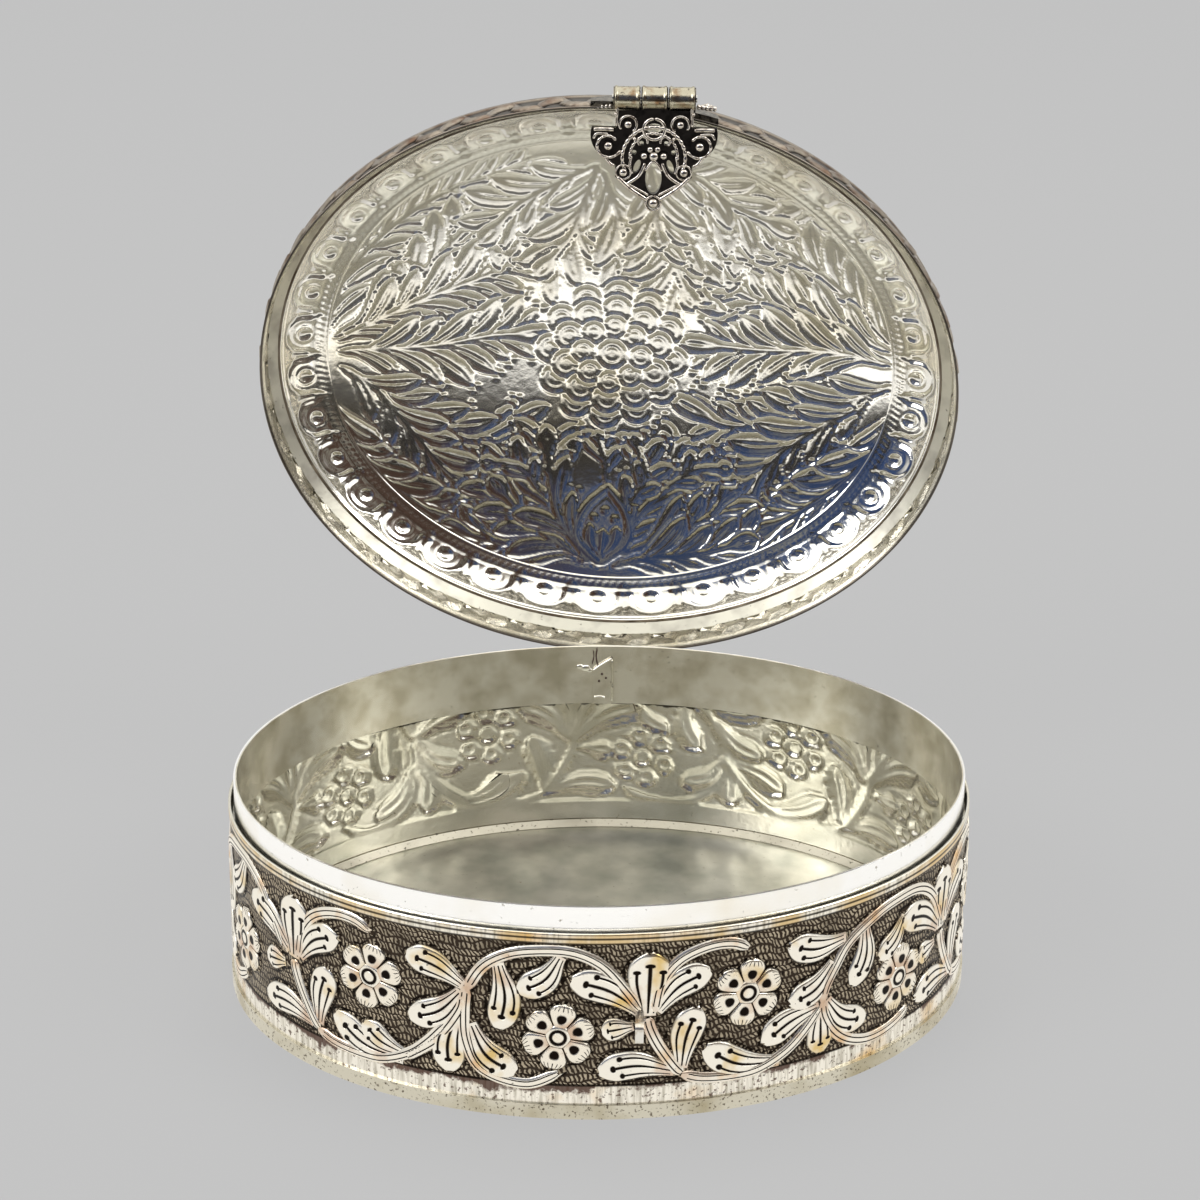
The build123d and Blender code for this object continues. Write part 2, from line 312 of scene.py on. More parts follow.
@dataclass(frozen=True)
class ChasedForm(Finish):
    """Polished raised form with blackened veins, end dots and edges, drawn from its own map."""

    veins: tuple[float, ...] = (0.0, 0.5)
    vein_ends: tuple[float, ...] = (0.78, 0.68)
    vein_start: float = 0.04
    vein_half: float = 0.05
    dot: float = 0.46
    half_width: float = 2.9
    length: float = 15.0
    edge: float = 0.82
    ticks: int = 0
    warmth: float = 0.6

    def dress(self, tree: Tree, place: Node, dents: Node) -> Looks:
        """Mix the metal with the dark of the engraved lines."""
        add = partial(add_node, tree)
        split = add("SeparateXYZ", add("UVMap", uv_map="form"))
        across, along = split.outputs[0], split.outputs[1]
        side = add("Math", across, operation="ABSOLUTE")
        worn = add("TexNoise", {"Vector": place, "Scale": 0.16, "Detail": 3.0})
        foot = add("Math", along, -0.45, worn, operation="MULTIPLY_ADD")
        warm = add("MapRange", foot, 0.36, 0.6, 0.0, self.warmth)
        metal = add("Mix", warm, self.metal(tree, place), linear("#b98a62"))
        dark = add("MapRange", side, self.edge, self.edge + 0.12)
        for vein, end in zip(self.veins, self.vein_ends):
            off = add("Math", side, vein, operation="SUBTRACT")
            away = add("Math", off, operation="ABSOLUTE")
            line = add("MapRange", away, self.vein_half, 1.8 * self.vein_half, 1.0, 0.0)
            start = add("Math", along, self.vein_start, operation="GREATER_THAN")
            stop = add("Math", along, end, operation="LESS_THAN")
            kept = add("Math", start, stop, operation="MULTIPLY")
            cut = add("Math", line, kept, operation="MULTIPLY")
            dark = add("Math", dark, cut, operation="MAXIMUM")
            if self.dot:
                wide = add("Math", off, self.half_width, operation="MULTIPLY")
                beyond = add("Math", along, end, operation="SUBTRACT")
                far = add("Math", beyond, self.length, operation="MULTIPLY")
                spot = add("CombineXYZ", wide, far)
                reach = add("VectorMath", spot, operation="LENGTH").outputs[1]
                mark = add("MapRange", reach, self.dot, 1.3 * self.dot, 1.0, 0.0)
                dark = add("Math", dark, mark, operation="MAXIMUM")
        if self.ticks:
            turns = add("Math", across, self.ticks / 2, operation="MULTIPLY")
            wave = add("Math", turns, 0.5, operation="PINGPONG")
            tick = add("MapRange", wave, 0.06, 0.14, 1.0, 0.0)
            rim = add("MapRange", along, 0.68, 0.74)
            cut = add("Math", tick, rim, operation="MULTIPLY")
            dark = add("Math", dark, cut, operation="MAXIMUM")
        deep = add("Math", 1.0, dark, operation="SUBTRACT")
        return {
            "Base Color": add("Mix", dark, metal, linear(self.grime)),
            "Roughness": add("MapRange", dark, 0.0, 1.0, self.roughness, 0.5),
            "Normal": add("Bump", {"Height": deep, "Distance": 0.15 * MM, "Normal": dents}),
        }


@dataclass(frozen=True)
class StruckSheet(Finish):
    """Sheet whose struck pattern holds tarnish in its hollows, read from the piece's own attribute.

    It may have a painted shadow line along one height, and a bloom that grows between two heights.
    """

    hollow: float = 0.35
    hollow_low: float = -0.25
    hollow_high: float = 0.05
    # Height of a painted shadow line, a dark broken line where an edge above shades the sheet; 0 for none.
    painted_shadow_height: float = 0.0
    bloom: tuple[float, ...] = ()
    bloomed: float = 0.72

    def dress(self, tree: Tree, place: Node, dents: Node) -> Looks:
        """Darken the hollows, paint the dark shadow line, and dull the bloomed plate."""
        add = partial(add_node, tree)
        depth = add("Attribute", attribute_name="struck").outputs["Fac"]
        low = add("MapRange", depth, self.hollow_low, self.hollow_high, self.hollow, 0.0)
        looks: Looks = {"Base Color": add("Mix", low, self.metal(tree, place), linear(self.grime))}
        # Painted shadow: a dark, broken line along one height, where the collar's foot shades the wall's inside.
        if self.painted_shadow_height:
            height = add("SeparateXYZ", place).outputs[2]
            off = add("Math", height, self.painted_shadow_height, operation="SUBTRACT")
            away = add("Math", off, operation="ABSOLUTE")
            breaks = add("TexNoise", {"Vector": place, "Scale": 0.35, "Detail": 3.0})
            wide = add("MapRange", breaks, 0.35, 0.7, 0.25, 1.1)
            near = add("Math", away, wide, operation="DIVIDE")
            dark = add("MapRange", near, 0.6, 1.0, 0.92, 0.0)
            looks["Base Color"] = add("Mix", dark, looks["Base Color"], linear("#2f2822"))
        if self.bloom:
            # Plate left unpolished blooms to a milky satin.
            height = add("SeparateXYZ", place).outputs[2]
            levels = {1: self.bloom[0], 2: self.bloom[1], 3: self.metallic, 4: self.bloomed}
            looks["Metallic"] = add("MapRange", {0: height} | levels)
        return looks


@dataclass(frozen=True)
class TwoSided(Finish):
    """Sheet round the oval, brighter outside than in."""

    inner_colour: str = "#e9e5d9"
    inner_tint: str = "#c8c2b0"
    inner_grime: str = "#8b8474"
    half_a: float = 82.8
    half_b: float = 66.9
    inner_size: float = 7.0
    inner_metallic: float = 0.85

    def dress(self, tree: Tree, place: Node, dents: Node) -> Looks:
        """Tell the two sides apart by the oval half-way through the sheet."""
        add = partial(add_node, tree)
        inner = Finish(
            self.name, self.inner_colour, self.inner_tint, self.inner_grime, tint_size=self.inner_size, tint_share=0.8
        )
        shares = add("VectorMath", place, (1 / self.half_a, 1 / self.half_b, 0.0), operation="MULTIPLY")
        share = add("VectorMath", shares, operation="LENGTH").outputs[1]
        outside = add("Math", share, 1.0, operation="GREATER_THAN")
        return {
            "Base Color": add("Mix", outside, inner.metal(tree, place), self.metal(tree, place)),
            "Metallic": add("MapRange", outside, 0.0, 1.0, self.inner_metallic),
        }


@dataclass(frozen=True)
class BandBack(Finish):
    """Inside of the lid's band, with grime along its edge and in the line of solder pits."""

    edge: float = 45.75
    pits: float = 54.6

    def dress(self, tree: Tree, place: Node, dents: Node) -> Looks:
        """Read heights from the sheet's own map."""
        add = partial(add_node, tree)
        height = add("SeparateXYZ", add("UVMap", uv_map="sheet")).outputs[1]
        rim = add("MapRange", height, self.edge, self.edge + 0.7, 0.9, 0.0)
        off = add("Math", height, self.pits, operation="SUBTRACT")
        away = add("Math", off, operation="ABSOLUTE")
        near = add("MapRange", away, 0.1, 0.8, 1.0, 0.0)
        spots = add("TexNoise", {"Vector": place, "Scale": 0.75})
        spot = add("MapRange", spots, 0.56, 0.62)
        pit = add("Math", near, spot, operation="MULTIPLY")
        dark = add("Math", rim, pit, operation="MAXIMUM")
        return {"Base Color": add("Mix", dark, self.metal(tree, place), linear("#352a22"))}


# Silver plate over brass, rubbed bright on the high forms; the plate has worn through to warm brass in patches.
SOOT = "#1a1410"  # silver sulphide left in engraved lines
LEAF = ChasedForm(
    "silver_plate_rubbed_leaf", "#f6f1e6", "#dfc283", SOOT, roughness=0.28, tint_size=9.0, tint_share=0.25
)
STEM = ChasedForm(
    "silver_plate_rubbed_stem", "#f4eee2", "#ddb27c", SOOT, roughness=0.28, tint_size=9.0, tint_share=0.35,
    veins=(0.32,), vein_ends=(0.97,), vein_half=0.06, dot=0.0, edge=0.84,
)
PETAL = ChasedForm(
    "silver_plate_rubbed_petal", "#f3ecde", "#dcbf80", SOOT, roughness=0.26, tint_size=9.0, tint_share=0.3,
    veins=(0.0,), vein_ends=(0.34,), vein_start=0.33, vein_half=0.1, dot=0.95, ticks=7, half_width=3.2, length=5.6,
)
HUB = ChasedForm(
    "silver_plate_rubbed_hub", "#f5efe2", "#e2bd88", SOOT, roughness=0.26, tint_share=0.3, veins=(0.48,),
    vein_ends=(1.0,), vein_start=0.0, vein_half=0.085, dot=0.0, edge=0.8, warmth=0.0,
)
# The wall's outside: silver plate blackened with liver of sulphur in the matted ground.
WALL_OUT = MatGround(
    "oxidised_matted_sheet", "#f6f1e6", "#e0b775", "#1c1611", roughness=0.28, tint_share=0.3, speck_share=0.25,
    lines=(8.1, 42.5, 43.7),
)
# Sheet seen from its back: planished, unpolished plate, greyed in soft clouds, with a painted shadow line under the
# collar's foot.
WALL_IN = StruckSheet(
    "planished_sheet_back", "#ebe7db", "#dad6c6", "#8d8470", roughness=0.17, tint_size=16.0, tint_share=0.8, dent=0.08,
    metallic=0.95, painted_shadow_height=34.9,
)
# The dome's inside is the brightest plate, a mirror in the lower part and milky towards the hasp.
DOME_IN = StruckSheet(
    "bright_plated_repousse_back", "#f6f4ee", "#ece6d6", "#6f6a60", roughness=0.11, tint_size=22.0, speck_share=0.0,
    dent=0.035, dent_size=2.4, hollow=0.3, bloom=(92.0, 150.0),
)
# The dome's and the band's outsides are blackened, and rubbed on their high forms.
DOME_OUT = StruckSheet(
    "oxidised_repousse_face", "#e4dccd", "#cdb48c", "#241b15", roughness=0.3, tint_share=0.3, speck_share=0.3,
    hollow=0.92, hollow_low=0.02, hollow_high=0.4,
)
DOME_FOOT = Finish("oxidised_dome_foot", "#8d8375", "#5f5246", "#1d1510", roughness=0.34, tint_size=5.0, tint_share=0.6)
BAND_OUT = StruckSheet(
    "oxidised_band_face", "#9b9184", "#6f5747", "#1d1510", roughness=0.34, tint_size=5.0, tint_share=0.6, hollow=0.97,
    hollow_low=-0.05, hollow_high=0.3,
)
# The band's back kept its plate, which is dulled by handling.
BAND_IN = BandBack(
    "plated_band_back", "#f4f0e4", "#dcd6c4", "#7b7466", roughness=0.22, tint_size=9.0, dent=0.1, dent_size=4.0
)
# Smoothed run of solder under the dome's foot, dulled to lead grey.
COVE = Finish("lead_grey_cove", "#c4c1b4", "#a19d93", "#3f3b36", roughness=0.38, tint_size=9.0, speck_share=0.12)
# Drawn brass sheet with a satin silver plate.
COLLAR = TwoSided(
    "satin_plated_collar", "#ffffff", "#f6f2e8", "#8e8877", roughness=0.22, tint_size=26.0, dent=0.05, dent_size=5.0
)
BASE = TwoSided(
    "satin_plated_base", "#d2cdbd", "#a99f83", "#4d4032", roughness=0.34, tint_share=0.6, speck_size=0.7,
    speck_share=0.5, half_a=84.6, half_b=68.7, inner_colour="#cac8bd", inner_tint="#9d9e94", inner_size=14.0,
)
# Tin-lead solder smoothed into a corner goes dull and finely pitted.
SOLDER = Finish(
    "smoothed_tin_solder", "#aca798", "#938e80", "#2b2620", roughness=0.45, speck_size=0.8, speck_share=0.35
)
# Fresh tin-lead solder is nearly white; burnt flux in its pinholes is reddish black.
BRIGHT_SOLDER = Finish("bright_tin_solder", "#f4f2ea", "#dcd9cd", "#8b8474", roughness=0.2, tint_size=3.0)
PINHOLE = Finish("burnt_flux", "#4a2f24", "#2c1c16", "#120c0a", roughness=0.6, metallic=0.0)
# Plated brass: strip with a clean shine, and castings that are dull in their hollows and rubbed on their scrolls.
STRIP = Finish("plated_brass_strip", "#e4e1da", "#a9977b", "#2a211a", roughness=0.28, tint_size=3.0)
HINGE = Finish(
    "plated_brass_casting", "#8a8272", "#5b5041", "#2a211a", roughness=0.3, tint_size=4.0, tint_share=0.7, dent=0.1
)
HINGE_HIGHS = Finish("rubbed_brass_casting_highs", "#d3ccbc", "#b09a78", "#2a211a", roughness=0.22, tint_size=3.0)
# Drawn steel is smooth and a cold grey.
WIRE = Finish("drawn_steel_wire", "#bfbdb8", "#a5a29a", "#3b3733", roughness=0.22, tint_size=3.0, dent=0.02)
# Cast brass, plated and blackened with sulphide, then rubbed on its high spots.
BLACK = Finish("blackened_casting", "#2a2624", "#151211", "#0b0909", roughness=0.32, tint_size=2.0, metallic=0.85)
PLATE = Finish(
    "rubbed_casting_plate", "#8a8376", "#3d3731", "#151211", roughness=0.3, tint_size=1.3, tint_share=0.7,
    speck_share=0.5, dent=0.14, dent_size=1.2,
)
RUBBED = Finish("rubbed_casting_highs", "#d6cfc6", "#8b8178", "#1a1614", roughness=0.2, tint_size=1.2, tint_share=0.5)
BARREL = Finish(
    "rubbed_casting_barrel", "#aaa491", "#80654a", "#2a2320", roughness=0.24, tint_size=2.6, tint_share=0.45,
    speck_share=0.4, dent=0.1,
)
NODE_FINISHES = {
    "base_plate": BASE,
    "side_wall": WALL_IN,
    "floor_seam": SOLDER,
    "inner_collar": COLLAR,
    "collar_lap": COLLAR,
    "staple": STRIP,
    "rear_hinge_body_leaf": HINGE,
    "rear_hinge_pin": WIRE,
    "rear_hinge_lid_leaf": HINGE,
    "lid_band": BAND_IN,
    "lid_dome": DOME_FOOT,
    "lid_seam": COVE,
    "hasp_plate": PLATE,
    "hasp_pin": WIRE,
    "hasp_leaf": BLACK,
}


# ---------------------------------------------------------------- mesh tools


def clip(values: Array) -> Array:
    """Hold values between 0 and 1."""
    return np.clip(values, 0, 1)


def ridge(off: Array, half: float) -> Array:
    """Height of a ridge at distances off its line: 1 on the line, and 0 from its half-width on."""
    return np.clip(1 - np.abs(off) / half, 0, 1)


def lay_grid(bm: Mesh, columns: int, rows: int, rule: Rule, chart: str) -> None:
    """Add a grid to a bmesh and bend it to a surface.

    Args:
        bm: Mesh in hand.
        columns: Faces along the grid's first direction.
        rows: Faces along its second direction.
        rule: Gives places and map coordinates for grid positions between -1 and 1. A third map coordinate is the
            struck height, which the vertices keep.
        chart: Name of the UV map that gets the map coordinates.
    """
    verts = bmesh.ops.create_grid(bm, x_segments=columns, y_segments=rows, size=1.0)["verts"]
    grid = np.array([vert.co[:2] for vert in verts])
    places, spots = rule(grid[:, 0], grid[:, 1])
    layer = bm.loops.layers.uv.get(chart) or bm.loops.layers.uv.new(chart)
    for vert, place, spot in zip(verts, places.tolist(), spots.tolist()):
        vert.co = place
        for loop in vert.link_loops:
            loop[layer].uv = spot[:2]
    if spots.shape[1] > 2:
        struck = bm.verts.layers.float.new("struck")
        for vert, height in zip(bm.verts, spots[:, 2].tolist()):
            vert[struck] = height


def ball(bm: Mesh, place: Sequence[float], radius: float, squash: Point, faces: tuple[int, int] = (16, 8)) -> None:
    """Add a flattened ball.

    Args:
        bm: Mesh in hand.
        place: Its middle.
        radius: Its radius.
        squash: Shares of the radius that are left from front to back and upwards.
        faces: Faces round it and from pole to pole.
    """
    matrix = Matrix.Translation(place) @ Matrix.Diagonal((1.0, *squash, 1.0))
    bmesh.ops.create_uvsphere(bm, u_segments=faces[0], v_segments=faces[1], radius=radius, matrix=matrix)


def join(bm: Mesh) -> None:
    """Join places that touch, so that seams and poles are closed."""
    bmesh.ops.remove_doubles(bm, verts=bm.verts, dist=TOUCHING)


def seal(bm: Mesh) -> None:
    """Join the seams and ends of closed shapes and turn their faces outwards."""
    join(bm)
    bmesh.ops.recalc_face_normals(bm, faces=bm.faces)


def settle(
    bm: Mesh,
    name: str,
    body: Body,
    slot: Slot,
    finishes: Sequence[bpy.types.Material],
    matrix: Matrix | None = None,
    replaces: Sequence[str] = (),
) -> None:
    """Turn a bmesh in millimetres into a piece that rides on a body.

    Args:
        bm: The finished mesh, which is freed.
        name: Name of the piece.
        body: Body that it rides on.
        slot: Material slot of the record; not used.
        finishes: Materials, in the order of the faces' material numbers.
        matrix: Place of the mesh in the frame, in millimetres.
        replaces: CAD nodes that the piece stands for.
    """
    bm.transform(Matrix.Scale(MM, 4) @ (matrix or Matrix.Identity(4)))
    bm.normal_update()
    mesh = bpy.data.meshes.new(name)
    bm.to_mesh(mesh)
    bm.free()
    mesh.shade_smooth()
    for finish in finishes:
        mesh.materials.append(finish)
    piece = bpy.data.objects.new(name, mesh)
    bpy.context.scene.collection.objects.link(piece)
    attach(piece, body.value)
    if replaces:
        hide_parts(*replaces)
    LOG.info("%s: %d faces on %s", name, len(mesh.polygons), body.value)


def curve_through(points: Sequence[Point], count: int) -> Array:
    """Draw a smooth line through some points.

    Args:
        points: Places on the sheet.
        count: Number of places wanted.

    Returns:
        Places evenly spread along the line.
    """
    given = np.array(points, float)
    if len(given) == 2:
        return given[0] + np.linspace(0, 1, count)[:, None] * (given[1] - given[0])
    padded = np.vstack([2 * given[0] - given[1], given, 2 * given[-1] - given[-2]])
    t = np.linspace(0, 1, 12, endpoint=False)[:, None]
    fine = []
    for p0, p1, p2, p3 in zip(padded, padded[1:], padded[2:], padded[3:]):
        bent = 2 * p1 + (p2 - p0) * t + (2 * p0 - 5 * p1 + 4 * p2 - p3) * t**2 + (3 * p1 - p0 - 3 * p2 + p3) * t**3
        fine.append(0.5 * bent)
    line = np.vstack([*fine, given[-1:]])
    run = np.concatenate([[0], np.cumsum(np.hypot(*np.diff(line, axis=0).T))])
    want = np.linspace(0, run[-1], count)
    return np.column_stack([np.interp(want, run, line[:, 0]), np.interp(want, run, line[:, 1])])


def bowed(base: Point, tip: Point, bow: float, count: int) -> Array:
    """Draw a line from a base to a tip that bows to its left by a share of its length."""
    start, end = np.array(base, float), np.array(tip, float)
    across = np.array([start[1] - end[1], end[0] - start[0]])
    return curve_through([start, (start + end) / 2 + across * bow, end], count)


def half_width(outline: Outline, t: Array, width: float) -> Array:
    """Half the width of a raised form at shares of its length.

    Args:
        outline: Kind of form.
        t: Shares from 0 at the base to 1 at the tip.
        width: Its full half-width.

    Returns:
        Half-widths.
    """
    if outline is Outline.STEM:
        return width * np.clip(np.minimum(t / 0.04, (1 - t) / 0.08), 0.15, 1) ** 0.5
    if outline is Outline.PETAL:
        open_out = 0.45 + 0.55 * clip(t / 0.55) ** 0.8
        return width * open_out * np.sqrt(clip(1 - (clip(t - 0.55) / 0.45) ** 2.2))
    swell = clip(t / 0.6)
    grown = 0.42 + 0.58 * swell * swell * (3 - 2 * swell)
    return width * grown * clip(1 - (clip(t - 0.7) / 0.3) ** 2) ** 0.75


# ---------------------------------------------------------------- the oval


@dataclass
class OvalPlan:
    """An oval measured along its edge from the middle of the front towards the box's right."""

    a: float
    b: float
    turns: Array = field(init=False, repr=False)
    run: Array = field(init=False, repr=False)

    def __post_init__(self) -> None:
        """Measure the edge once."""
        self.turns = np.linspace(-math.pi / 2, 1.5 * math.pi, 4001)
        steps = np.hypot(np.diff(self.a * np.cos(self.turns)), np.diff(self.b * np.sin(self.turns)))
        self.run = np.concatenate([[0], np.cumsum(steps)])

    @property
    def length(self) -> float:
        """Length of the edge."""
        return float(self.run[-1])

    def place(self, along: Array, out: Array, height: Array) -> Array:
        """Find places beside the edge.

        Args:
            along: Distances along the edge.
            out: Distances outside it.
            height: Heights.

        Returns:
            X, Y and Z of each place.
        """
        turn = np.interp(np.mod(along, self.length), self.run, self.turns)
        nx, ny = self.b * np.cos(turn), self.a * np.sin(turn)
        size = np.hypot(nx, ny)
        x, y = self.a * np.cos(turn) + out * nx / size, self.b * np.sin(turn) + out * ny / size
        return np.column_stack([x, y, height])


# ---------------------------------------------------------------- chased marks as a height map


def follow(path: Array, x: Array, y: Array) -> tuple[Array, Array]:
    """Measure places against a line.

    Args:
        path: Places along the line.
        x: First coordinates.
        y: Second coordinates.

    Returns:
        Share of the line's length at the nearest place, and distance from the line.
    """
    start, step = path[:-1], np.diff(path, axis=0)
    size = np.maximum(np.hypot(*step.T), 1e-9)
    run = np.concatenate([[0], np.cumsum(size)])
    dx, dy = x[:, None] - start[:, 0], y[:, None] - start[:, 1]
    t = clip((dx * step[:, 0] + dy * step[:, 1]) / size**2)
    gap = np.hypot(dx - t * step[:, 0], dy - t * step[:, 1])
    near, rows = np.argmin(gap, axis=1), np.arange(len(x))
    return (run[near] + t[rows, near] * size[near]) / run[-1], gap[rows, near]


class Form:
    """One struck form on a sheet."""

    def strike(self, x: Array, y: Array, level: Array) -> None:
        """Strike the form into a height map.

        Args:
            x: First coordinates of the sheet's places.
            y: Second coordinates.
            level: Heights, which are changed.
        """
        raise NotImplementedError


@dataclass
class Mark(Form):
    """A leaf, petal or stem along a path. One that covers hides what lies under it."""

    path: Array
    width: float
    rise: float
    outline: Outline = Outline.LEAF
    grooves: int = 0
    rim: float = 0.5
    cover: bool = False

    def strike(self, x: Array, y: Array, level: Array) -> None:
        """Raise the form and sink a line round it."""
        reach = self.width + 1.2
        low, high = self.path.min(0) - reach, self.path.max(0) + reach
        near = np.flatnonzero((x > low[0]) & (x < high[0]) & (y > low[1]) & (y < high[1]))
        if not near.size:
            return
        t, off = follow(self.path, x[near], y[near])
        limit = np.maximum(half_width(self.outline, t, self.width), 0.05)
        share, grown, under = off / limit, clip(0.45 + 0.8 * t), level[near]
        edge = clip(1 - (off - limit) / 0.8)
        sunk = -self.rim * self.rise * edge
        if self.cover:
            body = self.rise * clip(1 - share**3.5) * grown
            body -= 0.1 * self.rise * np.cos(np.pi * self.grooves * clip(share)) * clip(1 - share)
            vein = ridge(off, 0.45) * clip(t / 0.15) * clip((0.8 - t) / 0.1)
            body -= 0.6 * self.rise * vein * (self.outline is Outline.LEAF)
            beside = np.where(edge > 0, sunk, under)
        else:
            body = self.rise * np.sqrt(clip(1 - share**2.4)) * grown
            wave = 0.5 - 0.5 * np.cos(2 * np.pi * self.grooves * (share * 0.5 + 0.5))
            body -= 0.32 * self.rise * wave * clip(t / 0.2) * clip((0.9 - t) / 0.15)
            body = np.maximum(under, body)
            beside = np.where(under > 0.15, under, np.minimum(under, sunk))
        level[near] = np.where(share < 1, body, beside)


@dataclass
class Dot(Form):
    """A round punch mark."""

    centre: Point
    radius: float
    rise: float

    def strike(self, x: Array, y: Array, level: Array) -> None:
        """Add the dot to what lies under it."""
        gap = np.hypot(x - self.centre[0], y - self.centre[1])
        level += self.rise * np.sqrt(clip(1 - (gap / self.radius) ** 2))


@dataclass
class Scale(Form):
    """A round petal that covers what lies under it, with a chased edge and a small ring in its middle."""

    centre: Point
    radius: float
    rise: float = 0.5

    def strike(self, x: Array, y: Array, level: Array) -> None:
        """Put the petal in place of what lies under it."""
        gap = np.hypot(x - self.centre[0], y - self.centre[1])
        share = gap / self.radius
        shape = self.rise * clip(1 - share**4) - 0.5 * self.rise * ridge(share - 0.46, 0.13)
        inside, edge = share < 1, np.abs(gap - self.radius) < 0.55
        level[inside] = shape[inside]
        level[edge] = -0.5 * self.rise * ridge(gap[edge] - self.radius, 0.55)


# ---------------------------------------------------------------- wall foliage


@dataclass(frozen=True)
class Tendril:
    """A flower with the foliage that leads to it.

    Leaves are base, tip, half-width and bow, and stems are the places they pass through. A place is the distance along
    the wall from the flower, and the height above the floor's face.
    """

    flower: float
    leaves: tuple[tuple[Point, Point, float, float], ...]
    stems: tuple[Line, ...]


RISING = Tendril(
    28.0,
    (
        ((-22, 25), (-21.5, 40.5), 3.9, 0),
        ((-23.5, 26), (-39, 34), 3.1, -0.1),
        ((-20, 26), (-8, 35), 2.9, 0.12),
        ((-25, 22.5), (-32, 21.5), 2.3, 0),
        ((-16, 11), (-33, 11.5), 2.9, -0.1),
        ((-14.5, 11.5), (-11, 26.5), 3, 0.06),
        ((8, 9.5), (-10, 16.5), 3, 0.12),
    ),
    (
        ((-20.5, 26), (-19, 33), (-15, 38), (-9, 40.5), (-3.5, 40.5), (0.5, 38.5)),
        ((-22, 24.5), (-21.5, 22), (-19.5, 17.5), (-16, 12), (-14, 10)),
        ((-14.5, 10), (-10, 8.5), (-3, 8), (3, 8.5), (9.5, 11.5), (14, 15.5), (18.5, 21)),
    ),
)
FALLING = Tendril(
    20.0,
    (
        ((-20.5, 30.5), (-34, 36), 2.9, -0.08),
        ((-21, 29), (-33.5, 20.5), 2.9, 0.12),
        ((-21.5, 23.5), (-23.5, 8.5), 3.1, -0.1),
        ((-19, 21.5), (-8.5, 10.5), 3.1, -0.16),
        ((-13, 37), (-13, 20.5), 2.9, 0.1),
        ((0.5, 39.5), (-9, 30.5), 2.8, 0.14),
        ((-34.5, 11), (-44.5, 16.5), 2.7, 0.1),
    ),
    (
        ((-20, 29.5), (-16.5, 35.5), (-11.5, 39), (-5.5, 40.5), (2.5, 40.5), (9, 37.5), (14, 31.5), (18, 25.5)),
        ((-20, 30.5), (-20.5, 24), (-20, 17), (-16.5, 10.5), (-7, 8), (1, 11.5)),
        ((-20.5, 28), (-21.5, 24), (-26.5, 16.5), (-34.5, 10)),
    ),
)
CURLING = Tendril(
    20.0,
    (
        ((-16.5, 35.5), (-31.5, 37.5), 2.9, 0.1),
        ((-19.5, 30.5), (-31, 23), 2.9, 0.14),
        ((-23, 20.5), (-37, 14.5), 2.9, -0.08),
        ((-22.5, 20), (-22.5, 8.5), 2.7, 0),
        ((-21, 21.5), (-9.5, 13.5), 2.8, -0.16),
        ((-11, 37), (-14.5, 22.5), 2.7, 0.14),
        ((1.5, 35), (-7, 27), 2.5, 0.14),
    ),
    (
        (
            (-22, 21), (-21.5, 24.5), (-19, 29), (-15.5, 34), (-9.5, 37.5), (-3, 39.5), (6, 39.5), (13, 35), (18, 25.5)
        ),
        ((-22, 21.5), (-21.5, 18), (-19, 13.5), (-15, 10), (-9.5, 8), (-3.5, 8), (2, 9.5), (4.5, 11.5)),
    ),
)
FRONT_FLOWERS = (-100.0, -56.5, -14.0, 27.0, 67.5)
BACK_FLOWERS = 7
TENDRILS = (FALLING, RISING, FALLING, RISING, *(CURLING, RISING, FALLING, RISING) * 2)


@dataclass
class Pillow:
    """A raised form over the oval: a pillow along a spine, or a low dome round one place."""

    plan: OvalPlan
    spine: Array
    width: float
    outline: Outline | None
    crown: float
    ground: float = -0.3

    def along_spine(self, u: Array, v: Array) -> tuple[Array, Array]:
        """Bend a grid along the spine, and map it by the share of the width and of the length."""
        t, shares = v * 0.5 + 0.5, np.linspace(0, 1, len(self.spine))
        sx, sz = (np.interp(t, shares, line) for line in self.spine.T)
        dx, dz = (np.interp(t, shares, np.gradient(line)) for line in self.spine.T)
        size = np.maximum(np.hypot(dx, dz), 1e-9)
        side = np.sign(u) * np.abs(u) ** 0.85 * half_width(self.outline, t, self.width)
        dome = clip(1 - np.abs(u) ** 6) * clip((1 - t) / 0.05) ** 0.5
        dome *= clip(0.55 + 0.7 * t) if self.outline is Outline.LEAF else 1.0
        out = self.ground + (self.crown - self.ground) * dome
        return self.plan.place(sx + side * dz / size, out, sz - side * dx / size), np.column_stack([u, t])

    def round_middle(self, u: Array, v: Array) -> tuple[Array, Array]:
        """Wrap a grid round the place, and map it by the share of the radius."""
        share, turn = (u + 1) / 2, (v + 1) * math.pi
        out = self.ground + (self.crown - self.ground) * clip(1 - share**6)
        across, up = self.width * share * np.cos(turn), self.width * share * np.sin(turn)
        place = self.plan.place(self.spine[0] + across, out, self.spine[1] + up)
        return place, np.column_stack([share, np.full_like(share, 0.5)])


